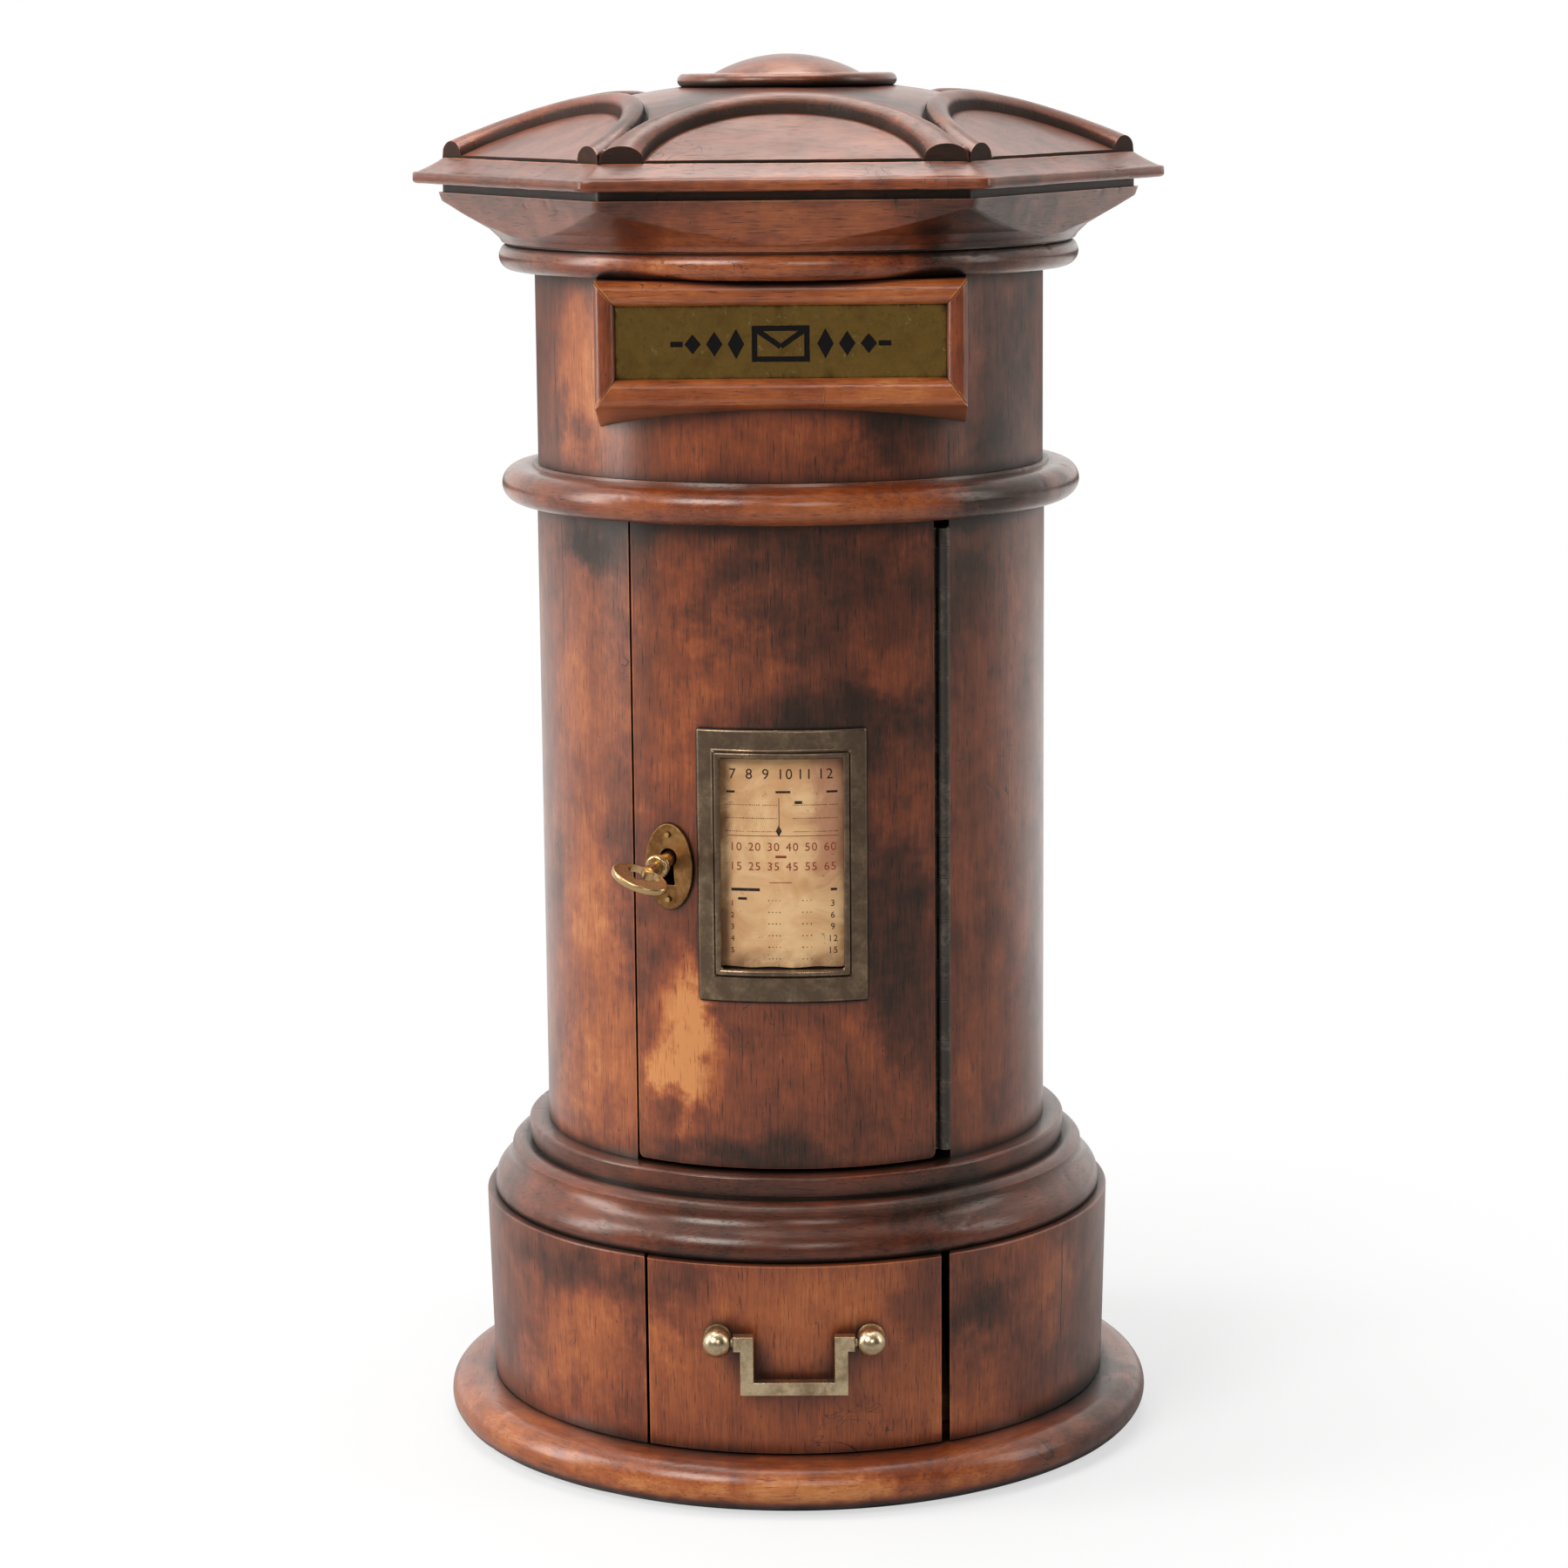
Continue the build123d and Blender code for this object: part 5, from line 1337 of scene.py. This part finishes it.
# ---------------------------------------------------------------- card and its printing
def on_card(across, height, lift=0.0):
    """Point on the card's face: across to the right of its middle, height above the table."""
    radius = CARD_BED + CARD_THICKNESS + lift
    low_share = max(0.0, (CURL_START - height) / CURL_RUN)
    curl = CURL_LIFT * low_share**2 * (0.5 + 0.5 * math.sin(across * 0.35))
    ripple = CARD_RIPPLE * math.sin(across * 0.5) * math.sin(height * 0.16)
    out = math.sqrt(radius**2 - across**2) + min(curl, CURL_LIMIT) + ripple
    angle = math.radians(CARD_AZIMUTH)
    x = across * math.cos(angle) + out * math.sin(angle)
    y = across * math.sin(angle) - out * math.cos(angle)
    return Vector((x, y, height)) * MM


def make_card():
    """A thin closed sheet with a face and a back, curled and ragged at its foot."""
    columns, rows = CARD_COLUMNS, CARD_ROWS
    points, faces = [], []
    for lift in (0.0, -CARD_SHEET):
        for j in range(rows + 1):
            for i in range(columns + 1):
                across = -CARD_HALF_WIDTH + 2 * CARD_HALF_WIDTH * i / columns
                height = CARD_BOTTOM + (CARD_TOP - CARD_BOTTOM) * j / rows
                ragged = CARD_RAGGED * math.sin(i * 0.47) * (j == 0)
                points.append(on_card(across, height + ragged, lift))
    back = (columns + 1) * (rows + 1)

    def corner(i, j):
        return j * (columns + 1) + i

    for j in range(rows):
        for i in range(columns):
            face = corner(i, j), corner(i + 1, j), corner(i + 1, j + 1), corner(i, j + 1)
            faces += [face, tuple(back + index for index in face[:1] + face[:0:-1])]
    rim = [corner(i, 0) for i in range(columns)] + [corner(columns, j) for j in range(rows)]
    rim += [corner(i, rows) for i in range(columns, 0, -1)] + [corner(0, j) for j in range(rows, 0, -1)]
    faces += [(first + back, last + back, last, first) for first, last in zip(rim, rim[1:] + rim[:1])]
    mesh = mesh_of("card_sheet", points, faces)
    face_outwards(mesh)
    smooth_by_angle(mesh, 60)
    mount_for(link("card_sheet", mesh), card_paper, "card")


def dot_tree():
    """Geometry tree of printed dot rows, with a few dots lost."""
    inputs = [("Width", "Float"), ("Height", "Float"), ("Dot", "Float"), ("Columns", "Int"), ("Rows", "Int")]
    inputs = [("Base", "Geometry"), *inputs, ("Finish", "Material")]
    graph, (_, width, height, dot, columns, rows, finish) = new_group("dot_rows", inputs, "Dots")
    sockets = {"Size X": width, "Size Y": height, "Vertices X": columns, "Vertices Y": rows}
    net = graph.node("GeometryNodeMeshGrid", None, sockets)
    lost = graph.node("FunctionNodeRandomValue", {"data_type": "BOOLEAN"}, {"Probability": 0.1, "Seed": 3}, 3)
    disc = graph.node("GeometryNodeMeshCircle", {"fill_type": "NGON"}, {"Vertices": 7, "Radius": dot})
    kept = graph.node("FunctionNodeBooleanMath", {"operation": "NOT"}, {0: lost})
    size = graph.node("FunctionNodeRandomValue", {"data_type": "FLOAT"}, {2: 0.7, 3: 1.2, "Seed": 5}, 1)
    sockets = {"Points": net, "Selection": kept, "Instance": disc, "Scale": size}
    return close_group(graph, graph.node("GeometryNodeInstanceOnPoints", None, sockets), finish)


DOTS = dot_tree()


def dotted(columns, rows, width, height, dot):
    """Flat mesh of dot rows about the origin, in millimetres."""
    piece = link("dots", bpy.data.meshes.new("dots"))
    modifier = piece.modifiers.new("dots", "NODES")
    modifier.node_group = DOTS
    set_inputs(modifier, columns=columns, rows=rows, width=width, height=height, dot=dot, finish=black_ink)
    return loose(piece)


def numerals(text, size):
    """Flat mesh of plain numerals, centred on the origin, in millimetres."""
    curve = bpy.data.curves.new("numerals", "FONT")
    curve.body = text
    curve.size = size
    curve.align_x = "CENTER"
    curve.align_y = "CENTER"
    curve.resolution_u = 4
    curve.space_character = 1.15
    return loose(link("numerals", curve))


def printed(name, marks, material):
    """One thin printed layer on the card. A mark is a flat mesh and its place across and up."""
    shape = bmesh.new()
    for mesh, across, height in marks:
        start = len(shape.verts)
        shape.from_mesh(mesh)
        shape.verts.ensure_lookup_table()
        for vertex in shape.verts[start:]:
            vertex.co = on_card(across + vertex.co.x, height + vertex.co.y, INK_LIFT)
    bmesh.ops.recalc_face_normals(shape, faces=shape.faces)
    outwards = Vector((0, -1, 0))
    for face in shape.faces:
        if face.normal.dot(outwards) < 0:
            face.normal_flip()
    solid = bmesh.ops.extrude_face_region(shape, geom=shape.faces[:])
    lifted = [item for item in solid["geom"] if isinstance(item, bmesh.types.BMVert)]
    bmesh.ops.translate(shape, verts=lifted, vec=Vector((0, -INK_THICKNESS * MM, 0)))
    mesh = bpy.data.meshes.new(name)
    shape.to_mesh(mesh)
    shape.free()
    mount(link(name, mesh), material, "door")


def bar(width, height):
    """Flat rectangle divided along its length so that it can bend."""
    runs = max(1, round(width / 2.0))
    across = [-width / 2 + width * i / runs for i in range(runs + 1)]
    points = [(x, side * height / 2, 0) for side in (-1, 1) for x in across]
    return mesh_of("bar", points, [(i, i + 1, runs + 2 + i, runs + 1 + i) for i in range(runs)])


def lozenge(width, height):
    points = [(-width / 2, 0, 0), (0, -height / 2, 0), (width / 2, 0, 0), (0, height / 2, 0)]
    return mesh_of("lozenge", points, [(0, 1, 2, 3)])


def card_marks():
    """Generic marks for the card: plain numbers, rows of dots and rules."""
    base = WINDOW_BOTTOM
    level = base + TOP_NUMBER_LEVEL
    black = [(numerals(text, TOP_NUMBER_SIZE), across, level) for text, across in TOP_NUMBERS]
    black += [(bar(width, height), across, base + level) for width, height, across, level in BLACK_BARS]
    black += [(dotted(*sizes), across, base + level) for *sizes, across, level in DOT_ROWS]
    width, height, across, level = LOZENGE
    black.append((lozenge(width, height), across, base + level))
    for row in range(SIDE_ROWS):
        level = base + SIDE_TOP - row * SIDE_PITCH
        for number, (size, across) in ((3 * row + 3, RIGHT_NUMBERS), (row + 1, LEFT_NUMBERS)):
            black.append((numerals(str(number), size), across, level))
    red = [(bar(width, height), across, base + level) for width, height, across, level in RED_BARS]
    for level, first in RED_ROWS:
        for index in range(RED_NUMBERS):
            number = numerals(str(first + 10 * index), RED_NUMBER_SIZE)
            red.append((number, RED_START + RED_PITCH * index, base + level))
    return black, red


make_card()
black_marks, red_marks = card_marks()
printed("card_print_black", black_marks, black_ink)
printed("card_print_red", red_marks, red_ink)


# ---------------------------------------------------------------- letter flap with its engraving
def box(x0, x1, z0, z1):
    return [(x0, z0), (x1, z0), (x1, z1), (x0, z1)]


def stroke(x0, z0, x1, z1, width):
    """Outline of a straight line of a width, between two points."""
    length = math.hypot(x1 - x0, z1 - z0)
    dx, dz = (z0 - z1) / length * width / 2, (x1 - x0) / length * width / 2
    return [(x0 + dx, z0 + dz), (x0 - dx, z0 - dz), (x1 - dx, z1 - dz), (x1 + dx, z1 + dz)]


def strokes():
    """Generic engraving on the flap, as closed outlines: an envelope between lozenges and dashes."""
    line = ENVELOPE_LINE
    half, up = ENVELOPE_WIDTH / 2, ENVELOPE_HEIGHT / 2
    shapes = [box(-half, half, -up, -up + line), box(-half, half, up - line, up)]
    shapes += [box(-half, -half + line, -up, up), box(half - line, half, -up, up)]
    for side in (-1, 1):
        shapes.append(stroke(side * (half - line / 2), up - line / 2, 0, ENVELOPE_POINT, line))
    for side in (-1, 1):
        for step in range(DIAMONDS):
            centre = side * (DIAMOND_START + step * DIAMOND_PITCH)
            reach = DIAMOND_REACH - step * DIAMOND_TAPER
            left, right = centre - DIAMOND_HALF_WIDTH, centre + DIAMOND_HALF_WIDTH
            shapes.append([(left, 0), (centre, -reach), (right, 0), (centre, reach)])
        inner, outer = sorted(side * end for end in DASH_ENDS)
        shapes.append(box(inner, outer, -DASH_HALF_HEIGHT, DASH_HALF_HEIGHT))
    return shapes


def prisms(name, shapes, centre, front, back):
    """Prisms through the flap's face over each outline, joined into one closed mesh."""
    pieces = []
    for index, outline in enumerate(shapes):
        count = len(outline)
        ring = [(centre.x + x * MM, front, centre.z + z * MM) for x, z in outline]
        ring += [(x, back, z) for x, _, z in ring]
        faces = [tuple(reversed(range(count))), tuple(range(count, 2 * count))]
        faces += [(i, (i + 1) % count, count + (i + 1) % count, count + i) for i in range(count)]
        mesh = mesh_of(name, ring, faces)
        face_outwards(mesh)
        pieces.append(link(f"{name}_{index}", mesh))
    first = pieces[0]
    for other in pieces[1:]:
        union = first.modifiers.new("joined", "BOOLEAN")
        union.operation = "UNION"
        union.solver = "EXACT"
        union.object = other
    whole = baked(first, name)
    for other in pieces[1:]:
        bpy.data.objects.remove(other)
    return whole


def make_flap():
    """The CAD's flap with its engraving cut in and filled with wax."""
    low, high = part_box("letter_flap")
    centre = Vector(((low.x + high.x) / 2, 0, (low.z + high.z) / 2 - ENGRAVING_DROP * MM))
    face = low.y
    floor = face + ENGRAVING_DEPTH * MM
    plate = link("flap_engraved", merged_copy("letter_flap"))
    bevel = plate.modifiers.new("softened", "BEVEL")
    bevel.width = FLAP_SOFTENING * MM
    bevel.limit_method = "ANGLE"
    bevel.angle_limit = math.radians(40)
    plate = baked(plate)
    cutter = prisms("engraving", strokes(), centre, face - ENGRAVING_REACH * MM, floor)
    cut = plate.modifiers.new("engraved", "BOOLEAN")
    cut.operation = "DIFFERENCE"
    cut.solver = "EXACT"
    cut.object = cutter
    plate = baked(plate)
    smooth_by_angle(plate.data, 30)
    mount_for(plate, flap_brass, "letter_flap")
    bpy.data.objects.remove(cutter)
    fill_front = face + (ENGRAVING_DEPTH - ENGRAVING_FILL) * MM
    fill = prisms("flap_inlay", strokes(), centre, fill_front, floor)
    mount(fill, black_wax, "letter_flap")


make_flap()


# ---------------------------------------------------------------- stage, lights and camera
def paint_stage():
    """Pale floor that goes white in the distance and keeps the object's shadow."""
    material, graph = new_material("studio_floor")
    seen = graph.node("ShaderNodeLightPath", None, None, 0)
    shade = graph.mixed(seen, (0.5, 0.5, 0.5, 1.0), (0.97, 0.97, 0.97, 1.0))
    matt = graph.node("ShaderNodeBsdfDiffuse", None, {"Color": shade})
    white = graph.node("ShaderNodeEmission", None, {"Color": (1.0, 1.0, 1.0, 1.0), "Strength": 1.0})
    place = graph.node("ShaderNodeTexCoord", out=3)
    away = graph.step(graph.vectors("LENGTH", place, out=1), 0.12, 0.4, 0.6, 1.0)
    depth = graph.parts(place)[1]
    behind = graph.step(depth, 0.1, 0.7) * graph.step(depth, 3.2, 1.4)
    mirrored = graph.node("ShaderNodeLightPath", None, None, 3) * behind
    share = graph.maths("MAXIMUM", away * seen, mirrored)
    whole = graph.node("ShaderNodeMixShader", None, {0: share, 1: matt, 2: white})
    graph.node("ShaderNodeOutputMaterial", None, {"Surface": whole})
    return material


def make_stage():
    """White backdrop: white to the camera, bright behind the object in mirrors, dim as a light."""
    reach = 30.0
    corners = [(-reach, -reach, 0), (reach, -reach, 0), (reach, reach, 0), (-reach, reach, 0)]
    floor = link("floor", mesh_of("floor", corners, [(0, 1, 2, 3)]))
    floor.data.materials.append(paint_stage())
    world = bpy.data.worlds.new("studio")
    bpy.context.scene.world = world
    world.use_nodes = True
    world.node_tree.nodes.clear()
    graph = Graph(world.node_tree)
    path = graph.node("ShaderNodeLightPath").socket.node.outputs
    camera_ray = Flow(graph, path["Is Camera Ray"])
    mirrors = Flow(graph, path["Is Glossy Ray"]), Flow(graph, path["Is Transmission Ray"])
    mirror_ray = graph.maths("MAXIMUM", *mirrors)
    x, y, z = graph.parts(graph.node("ShaderNodeTexCoord", out=0))
    backdrop = graph.step(y + z * 0.5 - x * 0.15, -0.35, 0.7, 0.06, 1.0)
    strength = graph.maths("MAXIMUM", camera_ray, mirror_ray * backdrop)
    ambient = (1 - mirror_ray) * 0.24
    strength = graph.maths("MAXIMUM", strength, ambient)
    sky = graph.node("ShaderNodeBackground", None, {"Color": (1.0, 1.0, 1.0, 1.0), "Strength": strength})
    graph.node("ShaderNodeOutputWorld", None, {"Surface": sky})


def softbox(name, place, size, power, target=(0.0, 0.0, 0.25)):
    """Square area lamp aimed at a point."""
    lamp = bpy.data.lights.new(name, "AREA")
    lamp.energy = power
    lamp.shape = "RECTANGLE"
    lamp.size, lamp.size_y = size
    holder = bpy.data.objects.new(name, lamp)
    bpy.context.scene.collection.objects.link(holder)
    holder.location = place
    holder.rotation_euler = (Vector(target) - Vector(place)).to_track_quat("-Z", "Y").to_euler()


def make_camera():
    """Camera at the photograph's view: a little above the box and to its right, with a long lens."""
    azimuth, distance, height = math.radians(0.7), 1.351, 0.453
    lens = bpy.data.cameras.new("camera")
    lens.sensor_width = 36.0
    lens.lens = 95.4
    lens.clip_end = 100.0
    camera = bpy.data.objects.new("camera", lens)
    bpy.context.scene.collection.objects.link(camera)
    camera.location = (distance * math.sin(azimuth), -distance * math.cos(azimuth), height)
    yaw, pitch, roll = math.radians(0.83), math.radians(-10.1), math.radians(-0.53)
    aim = Matrix.Rotation(yaw, 3, "Z") @ Matrix.Rotation(math.pi / 2 + pitch, 3, "X")
    camera.rotation_euler = (aim @ Matrix.Rotation(roll, 3, "Z")).to_euler()
    bpy.context.scene.camera = camera


# Each lamp's name, place and size in metres, and power in watts
LAMPS = (
    ("key_lamp", (-1.1, -1.5, 1.5), (0.9, 0.9), 22.0),
    ("front_lamp", (0.3, -2.3, 1.3), (0.7, 0.7), 7.0),
    ("top_lamp", (-0.1, 0.2, 1.7), (1.1, 1.1), 13.0),
    ("right_lamp", (1.6, -0.3, 0.8), (0.5, 1.2), 5.5),
    ("left_lamp", (-1.6, -0.2, 0.8), (0.5, 1.4), 14.0),
)

make_stage()
for lamp in LAMPS:
    softbox(*lamp)
make_camera()
bpy.context.scene.view_settings.view_transform = "Standard"
